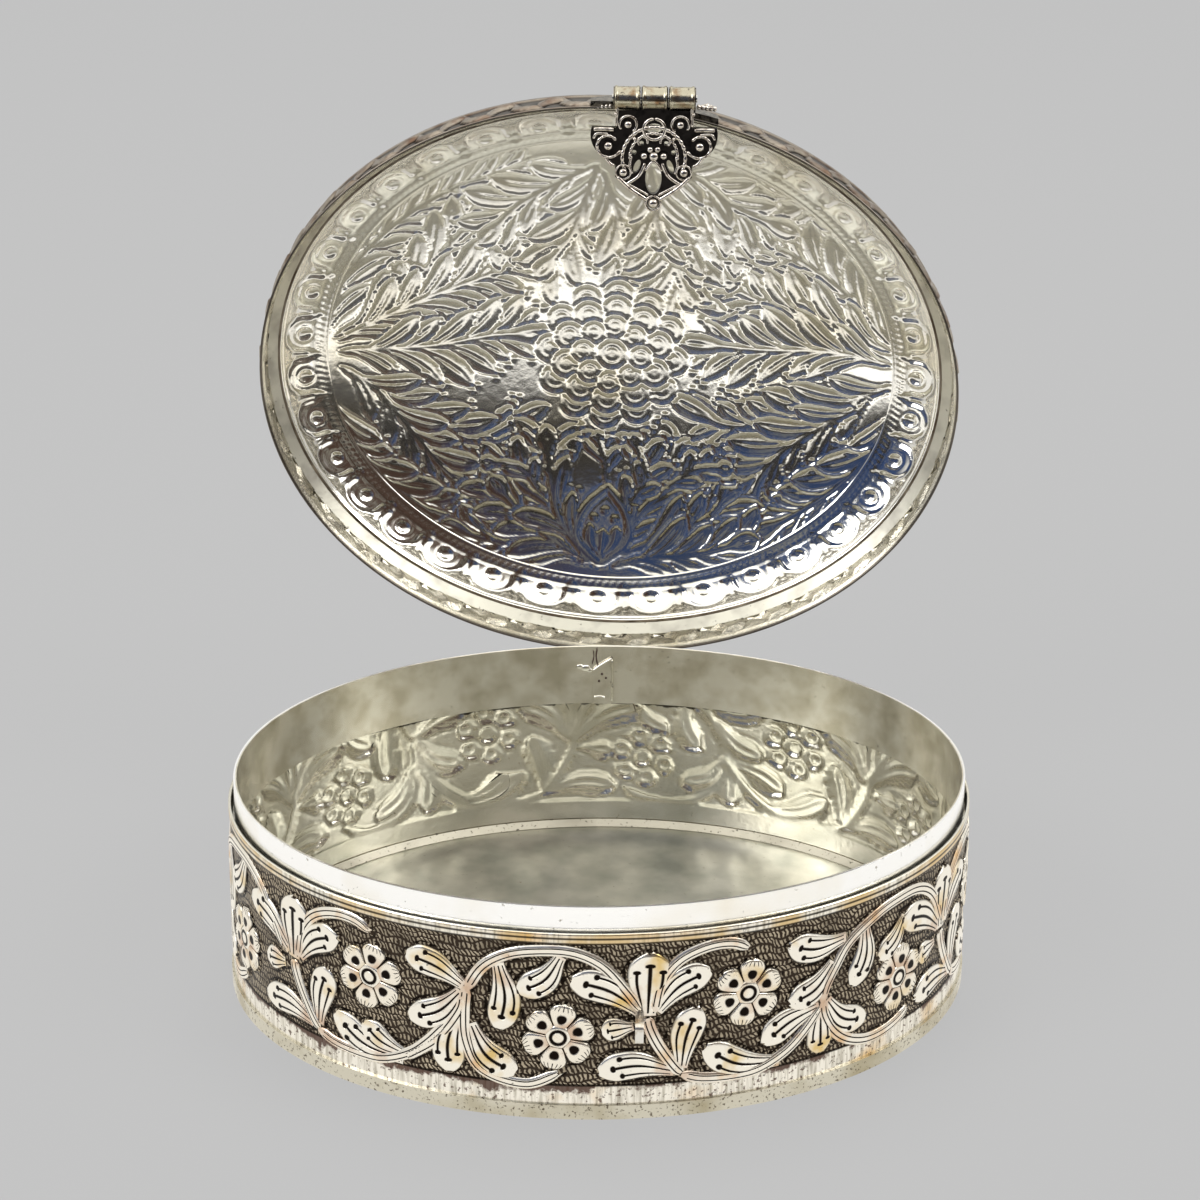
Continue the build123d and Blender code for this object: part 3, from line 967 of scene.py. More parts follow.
@dataclass
class WallGarden:
    """The flowers, leaves and stems that run round the wall."""

    plan: OvalPlan
    leaf_growth: float = 1.3
    stem_half: float = 1.55
    petal_count: int = 6
    petal_length: float = 5.6
    petal_half: float = 3.2
    hub: float = 2.5
    leaves: list[tuple[Array, float]] = field(default_factory=list)
    stems: list[tuple[Array, float]] = field(default_factory=list)
    petals: list[Array] = field(default_factory=list)
    flowers: list[Point] = field(default_factory=list)

    def __post_init__(self) -> None:
        """Lay the tendrils out flower by flower, first along the front and then evenly round the back."""
        gap = (self.plan.length + FRONT_FLOWERS[0] - FRONT_FLOWERS[-1]) / (BACK_FLOWERS + 1)
        alongs = [*FRONT_FLOWERS, *(FRONT_FLOWERS[-1] + gap * k for k in range(1, BACK_FLOWERS + 1))]
        reach = np.linspace(self.hub, self.hub + self.petal_length, 9)[:, None]
        for along, tendril in zip(alongs, TENDRILS):
            self.flowers.append((along, tendril.flower))
            for base, tip, width, bow in tendril.leaves:
                path = bowed((along + base[0], base[1]), (along + tip[0], tip[1]), bow, 14)
                self.leaves.append((path, width * self.leaf_growth))
            for points in tendril.stems:
                moved = [(along + x, z) for x, z in points]
                self.stems.append((curve_through(moved, 6 * len(points)), self.stem_half))
            for k in range(self.petal_count):
                turn = math.radians(80 + 360 / self.petal_count * k)
                self.petals.append(np.array([along, tendril.flower]) + reach * [math.cos(turn), math.sin(turn)])

    def marks(self) -> list[Form]:
        """Everything as soft forms for the sheet's height map."""
        found: list[Form] = [Mark(path, width, 1.0, grooves=3, rim=0.3) for path, width in self.leaves]
        found += [Mark(path, width, 0.7, Outline.STEM, rim=0.28) for path, width in self.stems]
        for path in self.petals:
            found += [Mark(path, self.petal_half, 0.9, Outline.PETAL, rim=0.4, cover=True), Dot(path[5], 1.3, -0.5)]
        for flower in self.flowers:
            found += [Scale(flower, 2.8, 0.9), Dot(flower, 1.0, -0.4)]
        return found

    def build(self) -> None:
        """Lay raised forms over the chased sheet, each a small pillow bent along its spine."""
        for name, finish, forms, size, outline, crown in (
            ("wall_leaves", LEAF, self.leaves, (12, 20), Outline.LEAF, 0.42),
            ("wall_stems", STEM, self.stems, (6, 40), Outline.STEM, 0.3),
            ("wall_petals", PETAL, [(path, self.petal_half) for path in self.petals], (14, 12), Outline.PETAL, 0.42),
            ("wall_flower_hubs", HUB, [(flower, 3.3) for flower in self.flowers], (8, 20), None, 0.52),
        ):
            bm = bmesh.new()
            for form, width in forms:
                patch = Pillow(self.plan, np.array(form), width, outline, crown)
                lay_grid(bm, *size, patch.along_spine if outline else patch.round_middle, "form")
            join(bm)
            settle(bm, name, Body.BOX, Slot.CHASED, [finish.make()])


@dataclass
class ChasedBand:
    """An upright oval band of sheet with a chased zone, solid through its thickness."""

    name: str
    body: Body
    node: str
    plan: OvalPlan
    bottom: float
    top: float
    zone: tuple[float, float]
    marks: list[Form]
    finishes: tuple[Finish, Finish]
    columns: int = 620
    rows: int = 78
    sheet: float = 0.7
    sink: float = 0.25
    soft: float = 0.6
    hollowing: float = 0.6
    room: float = 1.0

    def outside(self, u: Array, v: Array) -> tuple[Array, Array]:
        """Wrap a grid round the oval, and map it by the distance along it, the height and the struck height."""
        along = (u * 0.5 + 0.5) * self.plan.length
        z = self.bottom + (v * 0.5 + 0.5) * (self.top - self.bottom)
        height = np.zeros_like(along)
        for mark in self.marks:
            for turns in (0, 1, -1):
                mark.strike(along - turns * self.plan.length, z, height)
        low, high = self.zone
        inside = clip((z - low + 0.3) / 0.6) * clip((high + 0.3 - z) / 0.6)
        out = inside * (np.clip(height, -0.4, 1) * self.soft - self.sink)
        return self.plan.place(along, out, z), np.column_stack([along, z, out + self.sink])

    def build(self, matrix: Matrix) -> None:
        """Make the band. Its inside follows the struck form softly, and leaves room for what it slides over.

        Args:
            matrix: Place of the band in the frame.
        """
        bm = bmesh.new()
        lay_grid(bm, self.columns, self.rows, self.outside, "sheet")
        seal(bm)
        bm.normal_update()
        middle = bm.faces[:][len(bm.faces) // 2]
        if middle.normal.dot(Vector((*middle.calc_center_median()[:2], 0))) < 0:
            bmesh.ops.reverse_faces(bm, faces=bm.faces)
        outer = set(bm.faces)
        bmesh.ops.solidify(bm, geom=bm.faces[:], thickness=self.sheet)
        for face in bm.faces:
            face.material_index = 0 if face in outer else 1
        struck = bm.verts.layers.float["struck"]
        for vert in bm.verts:
            if not any(face in outer for face in vert.link_faces):
                way = Vector((vert.co.x / self.plan.a**2, vert.co.y / self.plan.b**2, 0.0)).normalized()
                vert.co += way * max(vert[struck] * self.hollowing, self.sink - vert[struck] - self.room)
        finishes = [finish.make() for finish in self.finishes]
        settle(bm, self.name, self.body, Slot.CHASED, finishes, matrix, [self.node])


# ---------------------------------------------------------------- lid

# Branches of the sprays inside the lid, as the places they pass through: across the lid, and up it when it is open.
BRANCHES: tuple[Line, ...] = (
    ((-70, 1), (-67, 14), (-57.5, 27.5), (-42.5, 39.5), (-24, 46.5)),
    ((-68, -0.5), (-55.5, 9), (-44.5, 21.5), (-36, 33)),
    ((-67, -1.5), (-48.5, 9.5), (-29.5, 19), (-19, 26.5)),
    ((-66.5, -4.5), (-45, -2), (-30, 2), (-19.5, 3.5)),
    ((-66, -8.5), (-52, -16.5), (-36.5, -24.5), (-29, -24), (-19.5, -18)),
    ((-57, -13.5), (-45, -26.5), (-37, -34.5), (-24, -43)),
    ((-69.5, -12.5), (-64, -24.5), (-55.5, -34.5), (-47.5, -40.5), (-37, -46.5)),
    ((72.5, 11), (68, 24), (58.5, 34.5), (44.5, 44), (27.5, 47.5)),
    ((69, 12.5), (54, 24.5), (41, 31.5), (30.5, 34)),
    ((68, 11), (53, 15), (35, 18.5), (20.5, 24.5)),
    ((68.5, 7.5), (53.5, 8), (36.5, 6), (22, 5.5)),
    ((70.5, 2.5), (58, -5), (46.5, -11), (31.5, -14.5), (22, -11.5)),
    ((63, -4.5), (50, -15), (42, -24), (38.5, -35)),
    ((71, -2.5), (69, -12), (62, -23.5), (53, -32.5), (42.5, -40.5)),
    ((0.5, -53), (-12.5, -50.5), (-25, -50), (-34.5, -48)),
    ((0.5, -52.5), (-7.5, -49.5), (-17.5, -43), (-24.5, -36.5)),
    ((-0.5, -52), (-8, -43.5), (-11.5, -34), (-13.5, -23.5)),
    ((6, -52), (12, -39.5), (18, -31.5), (20.5, -23)),
    ((8, -50.5), (17.5, -45.5), (28.5, -39), (33.5, -31)),
    ((6.5, -53.5), (15.5, -50.5), (27.5, -48), (38.5, -43.5)),
    ((-8, 49.5), (-17, 43.5), (-26.5, 36.5), (-32.5, 28.5)),
    ((-8, 49), (-10.5, 39.5), (-13, 30), (-18.5, 21)),
    ((-7, 48), (-3.5, 40), (1, 30), (3.5, 22)),
    ((14, 43.5), (22.5, 39.5), (29.5, 31)),
    ((14, 43), (13, 34), (13.5, 25.5), (17.5, 17)),
    ((4.5, 50), (15.5, 48.5), (25, 42.5), (38, 38.5)),
    ((4, 51), (6.5, 42), (8.5, 31)),
)
SHORT_BRANCHES: tuple[Line, ...] = (
    ((2.5, -33), (1.5, -27.5), (-1, -21.5)),
    ((-13.5, -37), (-19.5, -31), (-27.5, -30.5)),
    ((17.5, -33), (24.5, -27), (31.5, -25.5)),
    ((9.5, -38), (12, -30), (8.5, -21.5)),
)


@dataclass
class Spray:
    """A feathered branch: a stem with grooved lobes that sweep out on both sides, and dots at their tips."""

    line: Line
    lobe: float = 17.0
    width: float = 2.5
    spacing: float = 7.6
    rise: float = 0.62

    def feather(self, root: Array, way: Array, side: int, size: float) -> list[Form]:
        """One lobe that leaves the stem along it and curls outwards.

        Args:
            root: Place on the stem.
            way: The stem's direction there.
            side: 1 for the left of the stem and -1 for its right.
            size: Length of the lobe.

        Returns:
            The lobe and the dots at its tip.
        """
        places, turn, steps = [root], math.radians(9) * side, 7
        for _ in range(steps):
            turn += math.radians(6) * side
            c, n = math.cos(turn), math.sin(turn)
            places.append(places[-1] + np.array([way[0] * c - way[1] * n, way[0] * n + way[1] * c]) * size / steps)
        spine = np.array(places)
        last = (spine[-1] - spine[-2]) / np.hypot(*(spine[-1] - spine[-2]))
        across = np.array([-last[1], last[0]])
        lobe = Mark(spine, self.width * size / self.lobe, self.rise, grooves=3, cover=True)
        return [lobe, *(Dot(spine[-1] + last * 0.9 + across * off, 0.9, 0.35) for off in (-1.2, 0.9))]

    def marks(self) -> list[Form]:
        """Lobes and dots from the tip down, then the lobe at the tip and the stem."""
        path = curve_through(self.line, 40)
        count = max(2, round(float(np.hypot(*np.diff(path, axis=0).T).sum()) / self.spacing))
        found: list[Form] = []
        for k in range(count, 0, -1):
            for side, lag in ((1, 0.0), (-1, 0.45)):
                t = min((k - lag) / count * 0.86, 0.9)
                i = int(t * 38)
                ahead = path[i + 1] - path[i]
                swell = 0.62 + 0.38 * math.sin(math.pi * min(1.0, 0.25 + t * 0.75))
                size = self.lobe * swell * (1 + 0.16 * math.sin(5 * k + side))
                found += self.feather(path[i], ahead / np.hypot(*ahead), side, size)
        tip = curve_through([path[-7], path[-1], path[-1] + (path[-1] - path[-5]) * 1.2], 8)
        found.append(Mark(tip, self.width, self.rise, grooves=3, cover=True))
        found.append(Mark(path, 0.95, 0.5, Outline.STEM))
        return found


def bud_marks(foot: Point, height: float) -> list[Form]:
    """The heart-shaped bud that stands between the lower sprays.

    Args:
        foot: Its lowest place.
        height: Its height.

    Returns:
        Its two sides, three leaves within and three dots.
    """

    def at(across: float, up: float) -> Point:
        """A place from shares of the height."""
        return (foot[0] + across * height, foot[1] + up * height)

    found: list[Form] = []
    start = (foot[0], foot[1] + 2)
    for side in (-1, 1):
        edge = curve_through([foot, at(side * 0.33, 0.32), at(side * 0.26, 0.68), at(side * -0.02, 1.0)], 24)
        found.append(Mark(edge, 1.1, 0.6, Outline.STEM, rim=0.6))
        found.append(Mark(bowed(start, at(side * 0.17, 0.5), -0.15 * side, 8), 1.7, 0.5, grooves=2))
    found.append(Mark(bowed(start, at(0.0, 0.45), 0.0, 8), 1.7, 0.5, grooves=2))
    return found + [Dot(at(side, lift), 1.1, 0.5) for side, lift in ((-0.13, 0.58), (0.0, 0.68), (0.13, 0.58))]


@dataclass
class Rosette:
    """The flower in the middle of the lid, in rings of scalloped petals: radius, count and petal radius."""

    centre: Point = (0.3, 0.3)
    rings: tuple[tuple[float, int, float], ...] = ((15.4, 12, 4.0), (11.6, 10, 3.9), (7.2, 8, 3.1))

    def marks(self) -> list[Form]:
        """All petals from the outermost ring inwards, each ring over the last."""
        found: list[Form] = []
        for number, (radius, count, petal) in enumerate(self.rings):
            for k in range(count):
                turn = 2 * math.pi * (k + 0.5 * number) / count
                x, y = self.centre[0] + radius * math.cos(turn), self.centre[1] + radius * math.sin(turn)
                found.append(Scale((x, y), petal))
        return [*found, Scale(self.centre, 4.0, 0.6)]


@dataclass
class LidDome:
    """One side of the domed sheet: a border of scallops and rope round a field of sprays."""

    half_a: float
    half_b: float
    rise: float
    inside: bool
    sprays: list[Form]
    finish: Finish
    depth_gain: float
    foot: float = 57.2
    repeats: int = 35
    scallop: float = 12.4
    inner_share: float = 0.868
    border_depth: float = 13.9

    def surface(self, x: Array, y: Array, out: Array) -> Array:
        """Places over or under the dome.

        Args:
            x: Distances along the box.
            y: Distances across it.
            out: Distances off the dome along its normal, towards the side that the skin faces.

        Returns:
            Places when the lid is shut.
        """
        z = self.rise * np.sqrt(np.clip(1 - (x / self.half_a) ** 2 - (y / self.half_b) ** 2, 1e-4, 1))
        normal = np.column_stack([x / self.half_a**2, y / self.half_b**2, z / self.rise**2])
        normal /= np.linalg.norm(normal, axis=1)[:, None]
        return np.column_stack([x, y, self.foot + z]) + normal * (-out if self.inside else out)[:, None]

    def chart(self, first: Array, second: Array, level: Array) -> Array:
        """Map coordinates, and the struck height as seen from the side that the skin faces."""
        return np.column_stack([first, second, -level if self.inside else level])

    def border_level(self, turn: Array, depth: Array) -> Array:
        """Struck height of the border.

        Args:
            turn: Repeats round the border, one for each scallop.
            depth: Distances in from the dome's foot, along the sheet.

        Returns:
            Heights seen from outside.
        """
        side = np.abs((np.mod(turn, 1) - 0.5) * self.scallop)
        from_cusp = self.scallop / 2 - side
        gap = np.hypot(side, depth - 7.8)
        level = 0.6 * ridge(gap - 5.3, 0.95) ** 0.5 * (depth < 9.0)
        level += 0.65 * np.sqrt(clip(1 - (gap / 1.6) ** 2)) - 0.25 * ridge(gap - 2.1, 0.6)
        level += 0.6 * ridge(np.hypot(from_cusp, (depth - 7.4) * 0.42), 1.9) ** 0.5
        rays = 0.5 + 0.5 * np.cos(2 * np.pi * from_cusp / 2.1)
        level -= 0.3 * rays * ridge(depth - 3.2, 1.8) * (side > 3.4)
        for line in (10.7, 13.3):
            level += 0.35 * ridge(depth - line, 0.6) ** 0.5
        twist = 0.5 + 0.5 * np.cos(2 * np.pi * (turn * 7 + (depth - 12.0) / 2.1))
        return level + 0.22 * twist * ridge(depth - 12.0, 1.0) ** 0.5

    def border(self, u: Array, v: Array) -> tuple[Array, Array]:
        """Wrap a grid round the dome's foot, a little past the field's edge."""
        lowest, half = math.acos(self.inner_share), 0.5 * (self.half_a + self.half_b)
        share, lift = u * 0.5 + 0.5, (v * 0.5 + 0.5) * (lowest + 0.02)
        turn = share * 2 * math.pi
        x, y = self.half_a * np.cos(lift) * np.cos(turn), self.half_b * np.cos(lift) * np.sin(turn)
        depth = np.hypot(self.rise * np.sin(lift), half * (1 - np.cos(lift)))
        depth *= self.border_depth / np.hypot(self.rise * math.sin(lowest), half * (1 - math.cos(lowest)))
        level = self.border_level(share * self.repeats, depth) * clip(depth / 1.2)
        base = np.clip(np.minimum(depth / 1.5, (14.6 - depth) / 0.5), -0.6, 1) * 0.62
        out = base - level * 0.45 if self.inside else base + level * 0.8
        return self.surface(x, y, out), self.chart(share * self.repeats, depth, level)

    def field(self, u: Array, v: Array) -> tuple[Array, Array]:
        """Round a square grid to the oval field."""
        x = self.inner_share * self.half_a * u * np.sqrt(1 - v * v / 2)
        y = self.inner_share * self.half_b * v * np.sqrt(1 - u * u / 2)
        level = np.zeros_like(x)
        for mark in self.sprays:
            mark.strike(x, -y, level)
        edge = clip((1 - np.hypot(x / self.half_a, y / self.half_b) / self.inner_share) * 60)
        relief = level * 0.85 * edge * self.depth_gain
        return self.surface(x, y, 0.55 - relief if self.inside else 0.55 + relief), self.chart(x, y, level)

    def build(self, side: str, border_faces: tuple[int, int], matrix: Matrix) -> None:
        """Make the skins of the border and the field.

        Args:
            side: Word for this side in the pieces' names.
            border_faces: Faces round the border and across it.
            matrix: Place of the lid.
        """
        for part, rule, faces in (("border", self.border, border_faces), ("field", self.field, (290, 290))):
            bm = bmesh.new()
            lay_grid(bm, *faces, rule, "sheet")
            join(bm)
            bm.normal_update()
            if (sum(face.normal.z for face in bm.faces) > 0) == self.inside:
                bmesh.ops.reverse_faces(bm, faces=bm.faces)
            settle(bm, f"lid_{side}_{part}", Body.LID, Slot.CHASED, [self.finish.make()], matrix)


# ---------------------------------------------------------------- wires and castings


def bead_wire(bm: Mesh, path: Array, radius: float, beads: int = 0) -> None:
    """Add a round wire, plain or beaded, along a line.

    Args:
        bm: Mesh in hand.
        path: Places along it, in three coordinates.
        radius: Its radius.
        beads: Number of beads along it, or 0 for plain wire.
    """
    steps = np.gradient(path, axis=0)
    steps /= np.linalg.norm(steps, axis=1)[:, None]
    shares = np.linspace(0, 1, len(path))

    def rule(u: Array, v: Array) -> tuple[Array, Array]:
        """Wrap the grid round the line."""
        t = v * 0.5 + 0.5
        middle, way = (np.column_stack([np.interp(t, shares, row) for row in lines.T]) for lines in (path, steps))
        across = np.cross(way, np.array([0.0, 0.0, 1.0]))
        across /= np.maximum(np.linalg.norm(across, axis=1), 1e-9)[:, None]
        lift = np.cross(across, way)
        size = radius * clip(np.minimum(t, 1 - t) / 0.03) ** 0.5
        if beads:
            size = size * (0.72 + 0.38 * np.abs(np.sin(np.pi * beads * t)))
        turn = (u + 1) * math.pi
        place = middle + across * (np.cos(turn) * size)[:, None] + lift * (np.sin(turn) * size)[:, None]
        return place, np.column_stack([u, t])

    lay_grid(bm, 8, max(len(path) * 2, beads * 6), rule, "form")


@dataclass
class CastRelief:
    """Raised wires and studs on the face of a cast leaf, set out from its hinge pin.

    Places are the distance along the pin, and the distance from the leaf's near edge. Each wire and stud is there on
    both sides of the middle unless its sides say otherwise.
    """

    origin: Vector
    along: Vector
    face: float = 1.6
    bend: float = 0.0
    near: float = 0.0
    way: int = 1
    bm: Mesh = field(default_factory=bmesh.new)

    def frame(self) -> Matrix:
        """Place of the leaf: along the pin, up, and away from the box."""
        up = Vector((0, 0, 1))
        turn = Matrix((self.along, up, self.along.cross(up))).transposed().to_4x4()
        return Matrix.Translation(self.origin) @ turn

    def face_places(self, x: Array, y: Array) -> Array:
        """Places on the face at distances along and above the pin."""
        return np.column_stack([x, y, self.face - self.bend * x * x])

    def wire(self, radius: float, *points: Point, count: int = 8, beads: int = 0, sides: Sides = BOTH) -> None:
        """Lay a wire through places.

        Args:
            radius: Its radius.
            *points: The places that it passes through.
            count: Number of places that its line is drawn with.
            beads: Number of beads along it.
            sides: Sides of the middle that have it.
        """
        for side in sides:
            flat = curve_through([(side * x, self.way * (self.near + depth)) for x, depth in points], count)
            bead_wire(self.bm, self.face_places(flat[:, 0], -flat[:, 1]), radius, beads)

    def curl(
        self, radius: float, middle: Point, size: float, turns: Point, grow: float = 0.0, beads: int = 0,
        sides: Sides = BOTH,
    ) -> None:
        """Lay a wire along an arc or a spiral.

        Args:
            radius: Radius of the wire.
            middle: Middle of the arc.
            size: Radius of the arc where it starts.
            turns: Where it starts and ends, in degrees clockwise from the top.
            grow: What the arc's radius gains on its way.
            beads: Number of beads along it.
            sides: Sides of the middle that have it.
        """
        depth = self.way * (self.near + middle[1])
        for side in sides:
            angles = side * np.radians(np.linspace(*turns, max(10, int(abs(turns[1] - turns[0]) / 9))))
            sizes = size + grow * np.linspace(0, 1, len(angles))
            x, y = side * middle[0] + sizes * np.sin(angles), sizes * np.cos(angles) - depth
            bead_wire(self.bm, self.face_places(x, y), radius, beads)

    def stud(self, place: Point, lift: float, radius: float, rise: float, sides: Sides = BOTH) -> None:
        """Set a flattened ball on the face.

        Args:
            place: Its place.
            lift: Height of its middle over the face.
            radius: Its radius.
            rise: Half its height.
            sides: Sides of the middle that have it.
        """
        y, height = -self.way * (self.near + place[1]), self.face - self.bend * place[0] ** 2 + lift
        for side in sides:
            ball(self.bm, (side * place[0], y, height), radius, (1.0, rise / radius))


@dataclass
class SolderedLeafTrim(CastRelief):
    """The beaded edge, scrolls and studs of a cast leaf that is soldered to the sheet."""

    half: float = 12.9
    long: float = 9.0

    def relief(self) -> Mesh:
        """Make the raised work of one leaf."""
        side_line, belly, scroll, outer = self.half - 0.7, self.long / 2, 0.52 * self.half, 0.78 * self.half
        self.wire(0.5, (side_line, 0.0), (side_line, belly), (side_line, self.long), count=14, beads=11)
        self.curl(0.4, (scroll, belly), 1.7, (-60, 250), 1.0)
        self.stud((scroll, belly), 0.2, 0.85, 0.6)
        self.wire(0.38, (1.4, 0.0), (3.3, belly), (0.0, self.long - 0.9), count=12)
        self.stud((outer, 0.8), 0.1, 0.6, 0.5)
        self.stud((outer, self.long - 0.9), 0.1, 0.6, 0.5)
        far = [(x, self.long) for x in (-side_line, 0.0, side_line)]
        self.wire(0.5, *far, count=24, beads=24, sides=MIDDLE)
        self.stud((0.0, belly + 0.3), 0.25, 1.25, 0.8, MIDDLE)
        seal(self.bm)
        return self.bm


@dataclass
class PlateTrim(CastRelief):
    """The raised work of the hasp's plate on the outside of the lid, above its pin when the lid is shut."""

    def relief(self) -> Mesh:
        """Make the scrolls, studs and beaded edge."""
        self.wire(0.6, (9.8, 0.4), (12.4, 0.5), (14.6, 0.8), count=10, beads=5)
        self.curl(0.36, (12.4, 1.9), 1.1, (-160, 150), 0.4)
        self.stud((12.4, 1.9), 0.2, 0.7, 0.6)
        self.wire(0.45, (9.0, 3.4), (8.6, 6.6), (4.8, 9.0), (0.0, 10.2), count=18, beads=14)
        self.curl(0.36, (4.6, 4.6), 1.4, (120, -200), 0.7)
        self.stud((4.6, 4.6), 0.2, 0.8, 0.6)
        self.stud((0.0, 3.0), 0.2, 1.1, 0.8, MIDDLE)
        self.stud((0.0, 7.0), 0.2, 0.9, 0.7, MIDDLE)
        seal(self.bm)
        return self.bm


@dataclass
class HaspTrim(CastRelief):
    """The scrolls, beaded hoops, studs and barrel sleeves of the cast hasp."""

    barrel: float = 2.6
    knuckle: float = 6.4
    play: float = 0.2

    def scrolls(self) -> Mesh:
        """Raised lines and studs of the leaf."""
        self.wire(0.55, (8.6, 18.4), (5.6, 21.3), (1.3, 24.2), count=12)
        self.wire(0.32, (7.6, 19.6), (4.6, 21.0), (1.0, 23.0), count=12)
        self.wire(0.35, (8.8, 0.9), (8.7, 3.0), (8.9, 6.6))
        self.wire(0.5, (9.2, 7.2), (12.0, 7.1), (14.3, 7.2))
        self.wire(0.36, (10.6, 8.3), (13.4, 8.2), (14.2, 9.6))
        self.curl(0.42, (10.7, 11.0), 2.1, (-60, 250), 1.0, 9)
        self.curl(0.38, (6.1, 5.9), 2.0, (-150, 130))
        self.wire(0.4, (11.4, 13.8), (10.2, 15.4), (9.1, 15.9))
        self.curl(0.3, (7.1, 17.4), 1.7, (0, 360))
        self.wire(0.45, (1.9, 15.0), (3.4, 18.2), (6.4, 20.4), count=10)
        self.wire(0.35, (5.2, 13.4), (5.6, 15.8), (4.9, 17.9))
        self.curl(0.3, (2.6, 10.0), 1.1, (-120, 150))
        for x, depth, radius in (
            (10.7, 11.1, 1.05), (6.1, 5.9, 0.95), (7.1, 17.4, 1.0), (2.3, 13.4, 0.85), (4.6, 9.2, 0.5), (9.0, 3.4, 0.5)
        ):
            self.stud((x, depth), 0.25, radius, 0.75)
        self.stud((0.9, 11.9), 0.1, 0.75, 0.6)
        self.curl(0.5, (0.0, 13.9), 7.4, (-118, 118), beads=22, sides=MIDDLE)
        self.curl(0.42, (0.0, 13.6), 5.6, (-100, 100), beads=18, sides=MIDDLE)
        self.curl(0.45, (0.0, 7.0), 2.5, (0, 360), sides=MIDDLE)
        self.wire(0.35, (-2.1, 17.2), (0.0, 14.7), (2.1, 17.2), count=10, sides=MIDDLE)
        self.stud((0.0, 13.5), 0.3, 1.15, 0.9, MIDDLE)
        self.stud((0.0, 24.9), -0.3, 1.3, 1.3, MIDDLE)
        self.curl(0.3, (0.0, 24.9), 1.75, (0, 360), sides=MIDDLE)
        seal(self.bm)
        return self.bm

    def sleeve(self, number: int) -> Mesh:
        """Polished skin of one knuckle, with a raised bead at each end, closed on its hidden side.

        Args:
            number: Which knuckle, counted from the middle one.

        Returns:
            The mesh.
        """

        def rule(u: Array, v: Array) -> tuple[Array, Array]:
            """Wrap the grid round the knuckle: four fifths of it outside, and the rest on the hidden side."""
            turn, way = (u + 1) * math.pi, (v + 1) / 2
            back = way > 0.801
            along = np.where(back, 1 - 10 * (way - 0.8), 2.5 * way - 1)
            bead = 0.22 * np.sin(np.pi * clip((np.abs(along) - 0.72) / 0.28)) ** 0.8
            radius = np.where(back, self.barrel - 0.3, self.barrel + 0.08 + bead)
            radius = np.where(np.abs(along) > 0.995, self.barrel - 0.05, radius)
            x = number * self.knuckle + along * (self.knuckle / 2 - self.play)
            return np.column_stack([x, radius * np.cos(turn), radius * np.sin(turn)]), np.column_stack([u, along])

        bm = bmesh.new()
        lay_grid(bm, 40, 30, rule, "form")
        seal(bm)
        return bm

    def build(self) -> None:
        """Make the trims."""
        place = self.frame()
        settle(self.scrolls(), "hasp_scrolls", Body.HASP, Slot.CASTING, [RUBBED.make()], place)
        barrel = BARREL.make()
        for number, (word, body) in enumerate((("left", Body.LID), ("middle", Body.HASP), ("right", Body.LID)), -1):
            settle(self.sleeve(number), f"hasp_sleeve_{word}", body, Slot.CASTING, [barrel], place)


# ---------------------------------------------------------------- the collar's lapped joint


@dataclass
class LapSolder:
    """Solder round the lapped joint inside the collar's back, its pinholes and the crack above it."""

    inside: float = 66.05
    bend: float = 0.0042

    def wires(self, bm: Mesh, *wires: tuple[float, Line]) -> None:
        """Lay wires on the collar's inside.

        Args:
            bm: Mesh in hand.
            *wires: Radius of each, and its places as distances along the box and heights.
        """
        for radius, points in wires:
            flat = curve_through(points, 8)
            bead_wire(bm, np.column_stack([flat[:, 0], self.inside - self.bend * flat[:, 0] ** 2, flat[:, 1]]), radius)

    def build(self) -> None:
        """Make the solder and the pinholes."""
        bm = bmesh.new()
        self.wires(
            bm,
            (0.24, ((8.1, 35.6), (8.15, 41.0), (8.05, 47.6))),
            (0.3, ((3.2, 44.3), (5.6, 46.1), (8.1, 47.7))),
            (0.25, ((3.6, 37.2), (5.2, 37.4), (6.6, 36.9))),
        )
        for x, z, radius in ((1.6, 44.9, 1.2), (0.2, 45.3, 0.9), (2.6, 44.2, 0.8)):
            ball(bm, (x, self.inside + 0.45, z), radius, (0.35, 0.7), (16, 10))
        seal(bm)
        settle(bm, "lap_solder_run", Body.BOX, Slot.SOLDER, [BRIGHT_SOLDER.make()])
        bm = bmesh.new()
        self.wires(
            bm,
            (0.16, ((4.4, 50.3), (4.1, 47.9), (4.6, 45.5))),
            (0.12, ((3.4, 49.6), (3.6, 48.0), (3.1, 46.0))),
        )
        for x, z in ((7.9, 47.5), (4.9, 41.5), (6.6, 42.3), (8.0, 41.2), (5.6, 43.4)):
            ball(bm, (x, self.inside - 0.1, z), 0.3, (0.5, 1.0), (10, 6))
        seal(bm)
        settle(bm, "lap_pinholes", Body.BOX, Slot.SOLDER, [PINHOLE.make()])


# ---------------------------------------------------------------- studio


